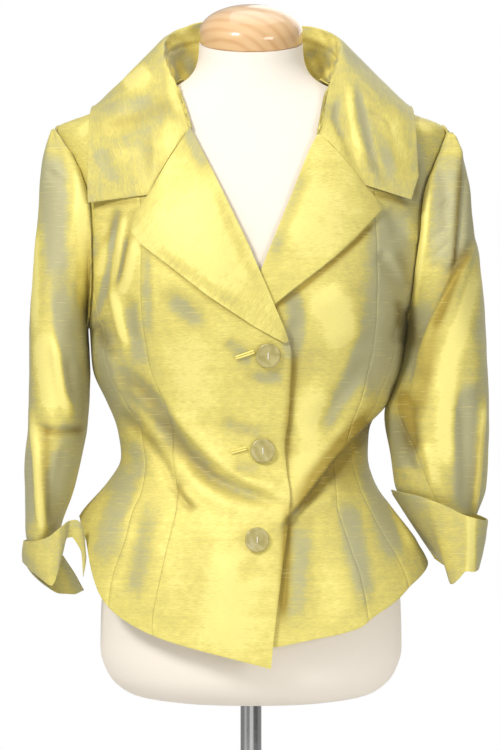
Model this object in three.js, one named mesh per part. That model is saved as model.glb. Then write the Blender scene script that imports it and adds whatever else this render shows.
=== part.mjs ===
// A short fitted silk blazer with a standing notched collar, turned-back lapels, a flared peplum and
// three-quarter sleeves with split cuffs, on a limbless dress form with a wooden neck cap, pole and foot.
// Millimetres. +Z is up, -Y is the front, -X is the wearer's right. The origin is under the middle of the foot.
import * as THREE from "three";

const wall = 1.4; // the silk with its interfacing
const seamGap = 0.3; // between two pieces that are sewn together
const layGap = 0.8; // between a piece and the panel that it lies on
const lapLift = 5; // how far the right front stands over the left one
const lapStarts = -78; // the right front starts to rise here, in X
const lapFull = -20; // and is fully raised here
const lapSink = 1.2; // how far the left front sinks under it
const lapSinkStarts = 45;
const radians = Math.PI / 180;

const armholeMiddle = 712; // height of the armhole's centre
const armholeHalf = 104; // half its height
const armholeSteps = 20; // points round an armhole and round a sleeve
const sideSeamStep = 7; // the side seams end at this point of the armhole
const opening = { frontRight: 28, frontLeft: 19, back: 24 }; // half its width, in degrees round the body
const shoulderPrincessX = 135; // the princess seam meets the shoulder here

const buttonRadius = 12.6;
const poleRadius = 11;
const footRadius = 150;
const neckTop = { z: 905.2, tilt: 0.307 }; // the neck's slanted top: height at the middle, rise per mm of Y
const capRadius = 54.2;
const capHigh = 36;
const capStraight = 11; // the cap's side below its dome
const footTop = 42; // the top of the foot's socket

const silk = { color: 0xd9cb72, roughness: 0.42, metalness: 0.1 };
const silkShade = { color: 0xcabd6c, roughness: 0.45, metalness: 0.1 };
const jersey = { color: 0xf7efe2, roughness: 0.9, metalness: 0 };
const wood = { color: 0xe2ac72, roughness: 0.35, metalness: 0 };
const chrome = { color: 0xc9cbce, roughness: 0.15, metalness: 1 };
const shell = { color: 0xbfb678, roughness: 0.3, metalness: 0 };
const thread = { color: 0xf1ead2, roughness: 0.8, metalness: 0 };

// The jacket's level sections: half widths to the wearer's right and left, depths to front and back,
// and how far the section tapers at its sides (1 is an ellipse, more is a lens).
const jacketRows = [
  { z: 240, right: 208, left: 206, front: 134, back: 128, taper: 0.95 },
  { z: 262, right: 207, left: 205, front: 133, back: 126, taper: 0.95 },
  { z: 324, right: 203, left: 196, front: 129, back: 119, taper: 0.95 },
  { z: 362, right: 196, left: 185.5, front: 125, back: 113, taper: 0.94 },
  { z: 390, right: 188, left: 168, front: 120, back: 106, taper: 0.93 },
  { z: 412, right: 178.5, left: 151, front: 114, back: 98, taper: 0.92 },
  { z: 435, right: 158, left: 134.5, front: 108, back: 89, taper: 0.9 },
  { z: 448, right: 147.5, left: 128, front: 104, back: 84, taper: 0.9 },
  { z: 469, right: 136, left: 122.5, front: 101, back: 79, taper: 0.9 },
  { z: 500, right: 140, left: 122, front: 103, back: 81, taper: 0.9 },
  { z: 531, right: 151.5, left: 138, front: 107, back: 87, taper: 0.88 },
  { z: 562, right: 164.5, left: 152.5, front: 113, back: 94, taper: 0.86 },
  { z: 603, right: 168.5, left: 160, front: 120, back: 102, taper: 0.86 },
  { z: 640, right: 173, left: 170, front: 123, back: 107, taper: 0.88 },
  { z: 685, right: 184, left: 185, front: 120, back: 109, taper: 0.92 },
  { z: 740, right: 192, left: 192, front: 111, back: 108, taper: 1 },
  { z: 775, right: 200, left: 200, front: 99, back: 105, taper: 1.1 },
  { z: 796, right: 205, left: 205, front: 91, back: 101, taper: 1.2 },
  { z: 816, right: 208, left: 207, front: 81, back: 96, taper: 1.3 },
  { z: 828, right: 175, left: 175, front: 75, back: 91, taper: 1.35 },
  { z: 840, right: 141.5, left: 141.5, front: 69, back: 84, taper: 1.35 },
  { z: 852, right: 107, left: 107, front: 64, back: 75, taper: 1.3 },
  { z: 864, right: 78, left: 78, front: 61, back: 66, taper: 1.1 },
  { z: 874, right: 66, left: 66, front: 60, back: 61, taper: 1 },
];

// The dress form's level sections, each the same on both sides.
const formRows = [
  { z: 214.5, half: 84, front: 50, back: 54, taper: 1, tilt: 0 },
  { z: 217.5, half: 112, front: 70, back: 75, taper: 1, tilt: 0 },
  { z: 227, half: 134, front: 86, back: 91, taper: 1, tilt: 0 },
  { z: 244, half: 150, front: 98, back: 103, taper: 0.98, tilt: 0 },
  { z: 270, half: 158, front: 105, back: 110, taper: 0.96, tilt: 0 },
  { z: 315, half: 157, front: 109, back: 112, taper: 0.95, tilt: 0 },
  { z: 360, half: 151, front: 107, back: 105, taper: 0.94, tilt: 0 },
  { z: 405, half: 136, front: 101, back: 89, taper: 0.92, tilt: 0 },
  { z: 440, half: 121, front: 95, back: 77, taper: 0.9, tilt: 0 },
  { z: 470, half: 113, front: 92, back: 72, taper: 0.9, tilt: 0 },
  { z: 505, half: 113, front: 94, back: 75, taper: 0.9, tilt: 0 },
  { z: 550, half: 130, front: 101, back: 84, taper: 0.88, tilt: 0 },
  { z: 600, half: 151, front: 113, back: 96, taper: 0.86, tilt: 0 },
  { z: 645, half: 164, front: 119.5, back: 103.5, taper: 0.88, tilt: 0 },
  { z: 700, half: 172, front: 115.5, back: 105.5, taper: 0.94, tilt: 0 },
  { z: 740, half: 178, front: 108, back: 104.5, taper: 1, tilt: 0 },
  { z: 775, half: 184, front: 96, back: 101.5, taper: 1.1, tilt: 0 },
  { z: 800, half: 187, front: 85, back: 95, taper: 1.2, tilt: 0 },
  { z: 816, half: 189, front: 77, back: 88, taper: 1.3, tilt: 0 },
  { z: 828, half: 164, front: 71, back: 84, taper: 1.35, tilt: 0 },
  { z: 840, half: 131, front: 65, back: 77, taper: 1.35, tilt: 0 },
  { z: 852, half: 97.5, front: 60, back: 68, taper: 1.3, tilt: 0 },
  { z: 864, half: 70, front: 57, back: 60, taper: 1.1, tilt: 0 },
  { z: 875, half: 60, front: 55.5, back: 56, taper: 1, tilt: 0.08 },
  { z: 888, half: 55.5, front: 54.6, back: 54.6, taper: 1, tilt: 0.2 },
  { z: neckTop.z, half: 54.2, front: 54.2, back: 54.2, taper: 1, tilt: neckTop.tilt },
];

const formLevels = [
  formRows[0].z, 217.5, 222, 230, 243, 262, 290, 320, 350, 380, 410, 440, 470, 500, 530, 560, 590, 618, 645,
  672, 700, 728, 754, 778, 798, 812, 820, 828, 836, 844, 852, 860, 868, 878, 890, neckTop.z,
];

// The folds that the cloth is pulled into, as lines seen from the front or back: ends, half width above
// and below the line, and height (a trough is below zero).
const foldRows = [
  { face: "front", x1: -58, z1: 492, x2: 30, z2: 424, above: 9, below: 9, height: 7 },
  { face: "front", x1: -86, z1: 512, x2: 33, z2: 410, above: 8, below: 12, height: -5.5 },
  { face: "front", x1: -112, z1: 480, x2: -58, z2: 417, above: 8, below: 8, height: 4 },
  { face: "front", x1: 136, z1: 526, x2: 42, z2: 422, above: 22, below: 6, height: 12 },
  { face: "front", x1: 126, z1: 496, x2: 40, z2: 402, above: 6, below: 13, height: -5.5 },
  { face: "front", x1: -124, z1: 740, x2: -142, z2: 640, above: 9, below: 9, height: -4 },
  { face: "front", x1: -142, z1: 650, x2: -126, z2: 566, above: 8, below: 8, height: -3.5 },
  { face: "front", x1: -80, z1: 636, x2: -48, z2: 582, above: 12, below: 12, height: -3 },
  { face: "front", x1: 60, z1: 610, x2: 22, z2: 574, above: 10, below: 10, height: 3 },
  { face: "front", x1: 150, z1: 640, x2: 112, z2: 560, above: 11, below: 11, height: -4 },
  { face: "front", x1: 126, z1: 440, x2: 168, z2: 350, above: 12, below: 12, height: 4 },
  { face: "back", x1: -120, z1: 520, x2: -40, z2: 440, above: 14, below: 9, height: 6 },
  { face: "back", x1: 118, z1: 512, x2: 30, z2: 446, above: 16, below: 8, height: 7 },
  { face: "back", x1: 140, z1: 640, x2: 96, z2: 560, above: 11, below: 11, height: -4 },
  { face: "back", x1: -138, z1: 650, x2: -104, z2: 570, above: 10, below: 10, height: -4 },
];
const bust = { x: 80, z: 642, wide: 58, high: 66, height: 9 }; // one mound on each side

// The hem's height round the body, in degrees from the front towards the wearer's left.
const hemRightRows = [
  { turn: -180, z: 396 },
  { turn: -120, z: 404 },
  { turn: -84, z: 408 },
  { turn: -66, z: 390 },
  { turn: -48, z: 326 },
  { turn: -40, z: 309 },
  { turn: -27, z: 291 },
  { turn: -6, z: 272 },
  { turn: 8, z: 259 },
];
const hemLeftRows = [
  { turn: -9, z: 280 },
  { turn: 7, z: 283 },
  { turn: 15, z: 288 },
  { turn: 33, z: 300 },
  { turn: 39, z: 311 },
  { turn: 50, z: 327 },
  { turn: 60, z: 342 },
  { turn: 86, z: 362 },
  { turn: 120, z: 385 },
  { turn: 180, z: 396 },
];

// The front edges up to where the lapels break, then the lines that the lapels roll over, in X.
const edgeRows = [
  { z: 240, right: 19, left: -13 },
  { z: 262, right: 20, left: -13 },
  { z: 369, right: 32, left: -13 },
  { z: 409, right: 37, left: -13 },
  { z: 430, right: 37, left: -13 },
  { z: 465, right: 34, left: -13 },
  { z: 488, right: 33, left: -13 },
  { z: 512, right: 37, left: -13 },
  { z: 582, right: 40, left: -15 },
  { z: 590, right: 38, left: -15 },
  { z: 628, right: 23, left: -2 },
  { z: 672, right: 4, left: 14 },
  { z: 738, right: -27, left: 40.5 },
  { z: 793, right: -54, left: 63 },
  { z: 813, right: -64, left: 75 },
  { z: 830, right: -72, left: 80 },
  { z: 853, right: -78, left: 83 },
  { z: 866, right: -79, left: 79 },
];

// The princess seams, in X away from the middle.
const princessRows = [
  { z: 240, right: 100, left: 125 },
  { z: 303, right: 100, left: 120 },
  { z: 350, right: 92, left: 111 },
  { z: 378, right: 86, left: 102 },
  { z: 430, right: 75, left: 88 },
  { z: 460, right: 79, left: 88 },
  { z: 504, right: 83, left: 98 },
  { z: 531, right: 91, left: 110 },
  { z: 564, right: 102, left: 121 },
  { z: 624, right: 108, left: 125 },
  { z: 682, right: 109, left: 127 },
  { z: 740, right: 113, left: 126 },
  { z: 796, right: 123, left: 127 },
  { z: 842, right: shoulderPrincessX, left: shoulderPrincessX },
];

// The seams on either side of the underarm panel, in degrees from the middle of the front.
const sideRows = [
  { z: 240, frontRight: 46, frontLeft: 58, back: 122 },
  { z: 346, frontRight: 45.5, frontLeft: 57, back: 121 },
  { z: 391, frontRight: 43, frontLeft: 55, back: 120 },
  { z: 430, frontRight: 45, frontLeft: 58, back: 118 },
  { z: 470, frontRight: 53, frontLeft: 60, back: 116 },
  { z: 530, frontRight: 59, frontLeft: 63, back: 113 },
  { z: 590, frontRight: 65, frontLeft: 69, back: 110 },
];

// A lapel's rows up its roll line: where the row starts on the roll line and where it ends on the free edge.
const lapelRightRows = [
  { rollZ: 592, x: 33, z: 590 },
  { rollZ: 625, x: -1, z: 608.6 },
  { rollZ: 660, x: -42, z: 636 },
  { rollZ: 700, x: -80, z: 667 },
  { rollZ: 735, x: -109, z: 689 },
  { rollZ: 755, x: -125.6, z: 708 },
  { rollZ: 782, x: -114, z: 723.5 },
  { rollZ: 808, x: -102.3, z: 738.7 },
];
const lapelLeftRows = [
  { rollZ: 596, x: -10, z: 598 },
  { rollZ: 625, x: 14, z: 620 },
  { rollZ: 660, x: 50, z: 650 },
  { rollZ: 695, x: 80, z: 674.5 },
  { rollZ: 730, x: 108, z: 700 },
  { rollZ: 758, x: 133, z: 726 },
  { rollZ: 780, x: 124, z: 738 },
  { rollZ: 802, x: 114.7, z: 749 },
];

// The collar's sections from the centre back (0) to its front ends (7), on the wearer's right: the neck seam,
// the top of the roll, the middle and edge of the fall, and how rounded the fall is. The other side is
// mirrored and moved out by shift.
const collarRows = [
  { at: 0, seamX: 0, seamY: 63, seamZ: 868, rollX: 0, rollY: 78, rollZ: 937, shift: 0 },
  { at: 1, seamX: -34, seamY: 56, seamZ: 868, rollX: -46, rollY: 67, rollZ: 937, shift: 0 },
  { at: 2, seamX: -60, seamY: 38, seamZ: 867, rollX: -76, rollY: 45, rollZ: 929, shift: 0 },
  { at: 3, seamX: -77, seamY: 12, seamZ: 866, rollX: -92, rollY: 12, rollZ: 911, shift: 2 },
  { at: 4, seamX: -82, seamY: -10, seamZ: 866, rollX: -90, rollY: -14, rollZ: 890, shift: 2 },
  { at: 5, seamX: -80, seamY: -28, seamZ: 861, rollX: -84, rollY: -30, rollZ: 873, shift: 3 },
  { at: 6, seamX: -73, seamY: -45, seamZ: 850, rollX: -76.5, rollY: -48, rollZ: 853, shift: 4 },
];
const fallRows = [
  { at: 0, midX: 0, midY: 97, midZ: 890, edgeX: 0, edgeY: 106, edgeZ: 836, round: 1 },
  { at: 1, midX: -68, midY: 86, midZ: 888, edgeX: -84, edgeY: 92, edgeZ: 834, round: 1 },
  { at: 2, midX: -110, midY: 50, midZ: 884, edgeX: -142, edgeY: 52, edgeZ: 838, round: 1 },
  { at: 3, midX: -132, midY: 8, midZ: 872, edgeX: -166, edgeY: 4, edgeZ: 839, round: 1 },
  { at: 4, midX: -128, midY: -34, midZ: 853, edgeX: -168, edgeY: -42, edgeZ: 818, round: 1 },
  { at: 5, midX: -123, midY: -62, midZ: 824, edgeX: -168, edgeY: -60, edgeZ: 788, round: 0.8 },
  { at: 6, midX: -112, midY: -88, midZ: 785, edgeX: -168, edgeY: -68, edgeZ: 760, round: 0.4 },
];
const collarEnds = {
  right: { tipX: -167.5, tipY: -70, tipZ: 733 },
  left: { tipX: 164, tipY: -76, tipZ: 736 },
};

// Level sections of the sleeves below the armholes: distance from the middle to the inner and outer edge,
// and the front and back edge in Y.
const sleeveRightRows = [
  { z: 372, inner: 201, outer: 231, front: -68, back: 22 },
  { z: 398, inner: 198, outer: 235, front: -72, back: 26 },
  { z: 430, inner: 187, outer: 235, front: -76, back: 32 },
  { z: 465, inner: 178, outer: 236, front: -78, back: 40 },
  { z: 505, inner: 172, outer: 232.5, front: -77, back: 50 },
  { z: 555, inner: 170, outer: 232, front: -75, back: 60 },
  { z: 598, inner: 171.3, outer: 232, front: -74, back: 68 },
];
const sleeveLeftRows = [
  { z: 412, inner: 172, outer: 236, front: -56, back: 18 },
  { z: 437, inner: 151, outer: 245, front: -67, back: 28 },
  { z: 470, inner: 146, outer: 247.5, front: -76, back: 38 },
  { z: 518, inner: 139, outer: 248.5, front: -77, back: 46 },
  { z: 546, inner: 150, outer: 248, front: -76, back: 54 },
  { z: 572, inner: 158, outer: 247, front: -75, back: 60 },
  { z: 598, inner: 163.5, outer: 246, front: -74, back: 66 },
];
const sleeveCap = { reach: 26, fall: 112, outward: 0.45, along: 0.85 }; // how a sleeve leaves its armhole
const sleeveSeams = { front: 6, back: 14 }; // the steps round a sleeve where its two pieces meet
const headRows = 6; // from the armhole to the first level section
const tubeRows = 9; // and from there to the sleeve's end

// Folds on the sleeves: from one height and turn round the sleeve (90 is its front) to another.
const sleeveFoldRows = [
  { side: "right", turn1: 60, z1: 560, turn2: 72, z2: 380, width: 9, height: 4 },
  { side: "right", turn1: 84, z1: 700, turn2: 120, z2: 600, width: 12, height: -4 },
  { side: "left", turn1: 70, z1: 720, turn2: 100, z2: 590, width: 12, height: 5 },
  { side: "left", turn1: 36, z1: 690, turn2: 112, z2: 566, width: 12, height: -6 },
  { side: "left", turn1: 30, z1: 560, turn2: 20, z2: 420, width: 8, height: 4 },
];

// The cuffs' sections from the back tip round the outside to the front tip: lower and upper edge.
const cuffRightRows = [
  { at: 0, lowX: -176.4, lowY: 18, lowZ: 329, topX: -198, topY: 10, topZ: 366 },
  { at: 1, lowX: -188, lowY: 32, lowZ: 324, topX: -211, topY: 26, topZ: 374 },
  { at: 2, lowX: -203, lowY: 38, lowZ: 324, topX: -226, topY: 32, topZ: 380 },
  { at: 3, lowX: -219, lowY: 32, lowZ: 333, topX: -235, topY: 22, topZ: 382 },
  { at: 4, lowX: -231, lowY: 8, lowZ: 347, topX: -238, topY: 2, topZ: 383 },
  { at: 5, lowX: -238, lowY: -22, lowZ: 362, topX: -237, topY: -26, topZ: 384 },
  { at: 6, lowX: -231, lowY: -52, lowZ: 358, topX: -232, topY: -54, topZ: 385 },
  { at: 7, lowX: -219, lowY: -72, lowZ: 350, topX: -222, topY: -74, topZ: 386 },
  { at: 8, lowX: -204, lowY: -82, lowZ: 341, topX: -207, topY: -84, topZ: 391 },
  { at: 9, lowX: -197, lowY: -82, lowZ: 355, topX: -198, topY: -86, topZ: 398 },
  { at: 10, lowX: -192, lowY: -78, lowZ: 375, topX: -191, topY: -82, topZ: 403 },
  { at: 11, lowX: -188.5, lowY: -72, lowZ: 389, topX: -185.5, topY: -74, topZ: 407 },
  { at: 12, lowX: -184, lowY: -71, lowZ: 390, topX: -180, topY: -72, topZ: 408 },
  { at: 13, lowX: -178.5, lowY: -70, lowZ: 383, topX: -175, topY: -70, topZ: 405 },
  { at: 14, lowX: -174, lowY: -68, lowZ: 373, topX: -171.5, topY: -67, topZ: 396 },
  { at: 15, lowX: -172.5, lowY: -66, lowZ: 348, topX: -169, topY: -65, topZ: 369 },
];
const cuffLeftRows = [
  { at: 0, lowX: 196, lowY: 52, lowZ: 360, topX: 150, topY: 44, topZ: 430 },
  { at: 1, lowX: 208, lowY: 52, lowZ: 352, topX: 176, topY: 52, topZ: 427 },
  { at: 2, lowX: 220, lowY: 44, lowZ: 347, topX: 206, topY: 50, topZ: 420 },
  { at: 3, lowX: 231, lowY: 26, lowZ: 349, topX: 234, topY: 34, topZ: 411 },
  { at: 4, lowX: 238, lowY: -8, lowZ: 353, topX: 247, topY: -6, topZ: 406 },
  { at: 5, lowX: 235, lowY: -48, lowZ: 355, topX: 245, topY: -48, topZ: 406 },
  { at: 6, lowX: 229, lowY: -66, lowZ: 354, topX: 232, topY: -72, topZ: 409 },
  { at: 7, lowX: 221, lowY: -72, lowZ: 355, topX: 216, topY: -79, topZ: 414 },
  { at: 8, lowX: 213, lowY: -70, lowZ: 347, topX: 202, topY: -77, topZ: 421 },
  { at: 9, lowX: 205.5, lowY: -62, lowZ: 341, topX: 187, topY: -73, topZ: 427 },
  { at: 10, lowX: 199, lowY: -46, lowZ: 361, topX: 174, topY: -67, topZ: 431 },
  { at: 11, lowX: 195, lowY: -22, lowZ: 364, topX: 158, topY: -54, topZ: 434 },
  { at: 12, lowX: 191, lowY: 2, lowZ: 368, topX: 146, topY: -16, topZ: 436 },
];

const cuffSteps = 4; // rows of a cuff from its lower to its upper edge

// The turned profiles, as radius and height.
const buttonProfile = [
  [0, 0],
  [buttonRadius * 0.82, 0],
  [buttonRadius, 1.1],
  [buttonRadius, 2],
  [buttonRadius * 0.9, 3],
  [buttonRadius * 0.72, 2.3],
  [0, 2],
];
const footProfile = [
  [0, 0],
  [footRadius - 2, 0],
  [footRadius, 2],
  [footRadius, 7],
  [footRadius - 4, 10],
  [34, 15],
  [22, 19],
  [18, 26],
  [18, footTop],
  [0, footTop],
];
const stitch = { wide: 1.1, thick: 0.8, long: 6.5, above: 2.75 }; // a button's bar of thread

const buttonRows = [
  { x: 17, z: 577.5, lean: 0, swing: 0 },
  { x: 11.5, z: 480, lean: -3, swing: -4 },
  { x: 5, z: 389.5, lean: 14, swing: 12 },
];
const buttonholeRows = [
  { x: -6, z: 578, length: 20, high: 4.4, slope: 18 },
  { x: -12, z: 480.5, length: 16, high: 4.4, slope: 15 },
];

const mix = (a, b, t) => a + (b - a) * t;
const ease = (t) => {
  const c = Math.min(1, Math.max(0, t));
  return c * c * (3 - 2 * c);
};
const degreesOf = (sine) => Math.asin(Math.min(1, Math.max(-1, sine))) / radians;

// Every named column of a table as a smooth function of its key column, with no overshoot.
function through(rows, key) {
  const names = Object.keys(rows[0]).filter((name) => name !== key && typeof rows[0][name] === "number");
  const steps = rows.slice(1).map((row, i) => row[key] - rows[i][key]);
  const slopes = {};
  for (const name of names) {
    const rises = steps.map((step, i) => (rows[i + 1][name] - rows[i][name]) / step);
    slopes[name] = rows.map((_, i) => {
      const before = rises[Math.max(0, i - 1)];
      const after = rises[Math.min(rises.length - 1, i)];
      return before * after > 0 ? (2 * before * after) / (before + after) : 0;
    });
  }
  return (at) => {
    let i = 0;
    while (i < steps.length - 1 && at > rows[i + 1][key]) i++;
    const t = Math.min(1, Math.max(0, (at - rows[i][key]) / steps[i]));
    const value = {};
    for (const name of names) {
      const [a, b] = [rows[i][name], rows[i + 1][name]];
      const [da, db] = [slopes[name][i] * steps[i], slopes[name][i + 1] * steps[i]];
      const [t2, t3] = [t * t, t * t * t];
      value[name] = a * (2 * t3 - 3 * t2 + 1) + da * (t3 - 2 * t2 + t) + b * (3 * t2 - 2 * t3) + db * (t3 - t2);
    }
    return value;
  };
}

// The same, with straight lines between the rows.
function along(rows, key) {
  const names = Object.keys(rows[0]).filter((name) => name !== key);
  return (at) => {
    let i = 0;
    while (i < rows.length - 2 && at > rows[i + 1][key]) i++;
    const t = Math.min(1, Math.max(0, (at - rows[i][key]) / (rows[i + 1][key] - rows[i][key])));
    return Object.fromEntries(names.map((name) => [name, mix(rows[i][name], rows[i + 1][name], t)]));
  };
}

const jacket = through(jacketRows, "z");
const hemRight = through(hemRightRows, "turn");
const hemLeft = through(hemLeftRows, "turn");
const edges = through(edgeRows, "z");
const princess = through(princessRows, "z");

// How far a fold lifts the cloth at a point of the front or back view.
function foldAt(face, x, z) {
  let sum = 0;
  for (const fold of foldRows) {
    if (fold.face !== face) continue;
    const [dx, dz] = [fold.x2 - fold.x1, fold.z2 - fold.z1];
    const length = Math.hypot(dx, dz);
    const t = ((x - fold.x1) * dx + (z - fold.z1) * dz) / (length * length);
    const off = ((z - fold.z1) * Math.abs(dx) - (x - fold.x1) * dz * Math.sign(dx)) / length;
    const ends = ease(t / 0.3 + 0.35) * ease((1 - t) / 0.3 + 0.35);
    const width = off > 0 ? fold.above : fold.below;
    sum += fold.height * ends * Math.exp(-((off / width) ** 2));
  }
  return sum;
}

function bustAt(x, z) {
  const off = ((Math.abs(x) - bust.x) / bust.wide) ** 2 + ((z - bust.z) / bust.high) ** 2;
  return bust.height * Math.exp(-off);
}

// A point of a level section, turn degrees from the middle of the front.
function sectionPoint({ right, left, front, back, taper }, turn, z) {
  const sine = Math.sin(turn * radians);
  const cosine = Math.cos(turn * radians);
  const x = (sine < 0 ? right : left) * sine;
  const y = -Math.sign(cosine) * (cosine > 0 ? front : back) * Math.abs(cosine) ** taper;
  return new THREE.Vector3(x, y, z);
}

// The jacket's outer surface, before any piece is laid over another.
function bodyPoint(turn, z) {
  const point = sectionPoint(jacket(z), turn, z);
  const outward = new THREE.Vector3(point.x / 190, point.y / 110, 0).normalize();
  const face = point.y < 0 ? "front" : "back";
  const lift = foldAt(face, point.x, z) + (face === "front" ? bustAt(point.x, z) : 0);
  const fade = ease(Math.abs(point.y) / 30);
  return point.addScaledVector(outward, lift * fade);
}

function normalOf(surface, u, v, stepU, stepV) {
  const across = surface(u + stepU, v).sub(surface(u - stepU, v));
  const up = surface(u, v + stepV).sub(surface(u, v - stepV));
  return across.cross(up).normalize();
}

const bodyNormal = (turn, z) => normalOf(bodyPoint, turn, z, 0.4, 1);

// A point of the front by its X and Z, moved out by lift.
function frontPoint(x, z, lift) {
  const section = jacket(z);
  const turn = degreesOf(x / (x < 0 ? section.right : section.left));
  return bodyPoint(turn, z).addScaledVector(bodyNormal(turn, z), lift);
}

const lapAt = (x) => lapLift * ease((x - lapStarts) / (lapFull - lapStarts));
const underLapAt = (x) => -lapSink * ease((lapSinkStarts - x) / 40);

// A closed solid between two grids of points, each a list of rows. A ring of columns closes on itself.
function solidBetween(outer, inner, ring = false) {
  const rows = outer.length;
  const columns = outer[0].length;
  const points = [...outer.flat(), ...inner.flat()];
  const faces = [];
  const at = (layer, row, column) => layer * rows * columns + row * columns + (column % columns);
  const quad = (a, b, c, d) => faces.push(a, b, c, a, c, d);
  const spans = ring ? columns : columns - 1;
  for (let row = 0; row < rows - 1; row++) {
    for (let column = 0; column < spans; column++) {
      quad(at(0, row, column), at(0, row, column + 1), at(0, row + 1, column + 1), at(0, row + 1, column));
      quad(at(1, row, column), at(1, row + 1, column), at(1, row + 1, column + 1), at(1, row, column + 1));
    }
    if (ring) continue;
    const last = columns - 1;
    quad(at(0, row, 0), at(0, row + 1, 0), at(1, row + 1, 0), at(1, row, 0));
    quad(at(0, row, last), at(1, row, last), at(1, row + 1, last), at(0, row + 1, last));
  }
  for (let column = 0; column < spans; column++) {
    const top = rows - 1;
    quad(at(0, 0, column), at(1, 0, column), at(1, 0, column + 1), at(0, 0, column + 1));
    quad(at(0, top, column), at(0, top, column + 1), at(1, top, column + 1), at(1, top, column));
  }
  return closedGeometry(points, faces);
}

// A closed geometry with its faces turned outward.
function closedGeometry(points, faces) {
  let volume = 0;
  const normal = new THREE.Vector3();
  for (let i = 0; i < faces.length; i += 3) {
    const [a, b, c] = [points[faces[i]], points[faces[i + 1]], points[faces[i + 2]]];
    volume += normal.crossVectors(b, c).dot(a);
  }
  if (volume < 0) faces.reverse();
  const geometry = new THREE.BufferGeometry().setFromPoints(points);
  geometry.setIndex(faces);
  geometry.computeVertexNormals();
  return geometry;
}

// A solid through closed rings of points, with a flat fan over each end.
function loft(rings) {
  const sides = rings[0].length;
  const points = rings.flat();
  const faces = [];
  for (let ring = 0; ring < rings.length - 1; ring++) {
    for (let side = 0; side < sides; side++) {
      const [a, b] = [ring * sides + side, ring * sides + ((side + 1) % sides)];
      faces.push(a, b, b + sides, a, b + sides, a + sides);
    }
  }
  for (const [ring, turned] of [[0, true], [rings.length - 1, false]]) {
    const middle = points.length;
    const centre = new THREE.Vector3();
    for (const point of rings[ring]) centre.addScaledVector(point, 1 / sides);
    points.push(centre);
    for (let side = 0; side < sides; side++) {
      const [a, b] = [ring * sides + side, ring * sides + ((side + 1) % sides)];
      faces.push(...(turned ? [b, a, middle] : [a, b, middle]));
    }
  }
  return closedGeometry(points, faces);
}

// A wall of cloth whose outer grid is given, with its inner points moved in along the normals. The first and
// last column, where asked, are drawn in from the seam that they share with the next piece.
function cloth(outer, normals, drawn = [true, true], thickness = wall) {
  const inner = outer.map((row, i) => row.map((p, j) => p.clone().addScaledVector(normals[i][j], -thickness)));
  for (let i = 0; i < outer.length; i++) {
    const last = outer[i].length - 1;
    for (const [asked, edge, next] of [[drawn[0], 0, 1], [drawn[1], last, last - 1]]) {
      if (!asked) continue;
      const inward = outer[i][next].clone().sub(outer[i][edge]).setLength(seamGap / 2);
      outer[i][edge].add(inward);
      inner[i][edge].add(inward);
    }
  }
  return solidBetween(outer, inner);
}

// Normals of a grid of points from its own neighbours.
function gridNormals(grid, sign, ring = false) {
  const rows = grid.length;
  const columns = grid[0].length;
  return grid.map((row, i) =>
    row.map((_, j) => {
      const before = ring ? (j + columns - 1) % columns : Math.max(0, j - 1);
      const after = ring ? (j + 1) % columns : Math.min(columns - 1, j + 1);
      const across = row[after].clone().sub(row[before]);
      const up = grid[Math.min(rows - 1, i + 1)][j].clone().sub(grid[Math.max(0, i - 1)][j]);
      return across.cross(up).normalize().multiplyScalar(sign);
    }),
  );
}

// The armhole on one side (-1 is the wearer's right): 0 is the shoulder, a quarter turn on is the front.
function armhole(side, step) {
  const turn = (step / armholeSteps) * 2 * Math.PI;
  const wide = Math.sin(turn) < 0 ? opening.back : side < 0 ? opening.frontRight : opening.frontLeft;
  const open = wide * Math.sin(turn) * (1 + 0.15 * Math.cos(turn));
  return { turn: side * (90 - open), z: armholeMiddle + armholeHalf * Math.cos(turn) };
}

const armholeFoot = armhole(1, sideSeamStep).z;
const armholeTop = armhole(1, 0).z;
const armholeLevels = Array.from({ length: sideSeamStep }, (_, i) => armhole(1, sideSeamStep - 1 - i).z);

// The armhole's edge at a height, on the front or the back.
function armholeTurn(side, z, back) {
  const cosine = Math.min(1, Math.max(-1, (z - armholeMiddle) / armholeHalf));
  const step = (Math.acos(cosine) / (2 * Math.PI)) * armholeSteps;
  return armhole(side, back ? armholeSteps - step : step).turn;
}

// The side seams run up to the armhole's points.
const sideSeams = Object.fromEntries(
  [-1, 1].map((side) => {
    const front = side < 0 ? "frontRight" : "frontLeft";
    const top = {
      z: armholeFoot,
      front: Math.abs(armholeTurn(side, armholeFoot, false)),
      back: Math.abs(armholeTurn(side, armholeFoot, true)),
    };
    const rows = sideRows.map((row) => ({ z: row.z, front: row[front], back: row.back }));
    return [side, through([...rows, top], "z")];
  }),
);

function outerTurn(side, z, back) {
  if (z < armholeFoot) return side * sideSeams[side](z)[back ? "back" : "front"];
  return z < armholeTop ? armholeTurn(side, z, back) : side * 90;
}

function turnAtX(side, x, z) {
  const section = jacket(z);
  return degreesOf(x / (side < 0 ? section.right : section.left));
}

const princessTurn = (side, z) => turnAtX(side, side * princess(z)[side < 0 ? "right" : "left"], z);

function frontTurn(side, z) {
  const x = edges(z)[side < 0 ? "right" : "left"];
  const section = jacket(z);
  return degreesOf(x / (x < 0 ? section.right : section.left));
}

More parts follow.
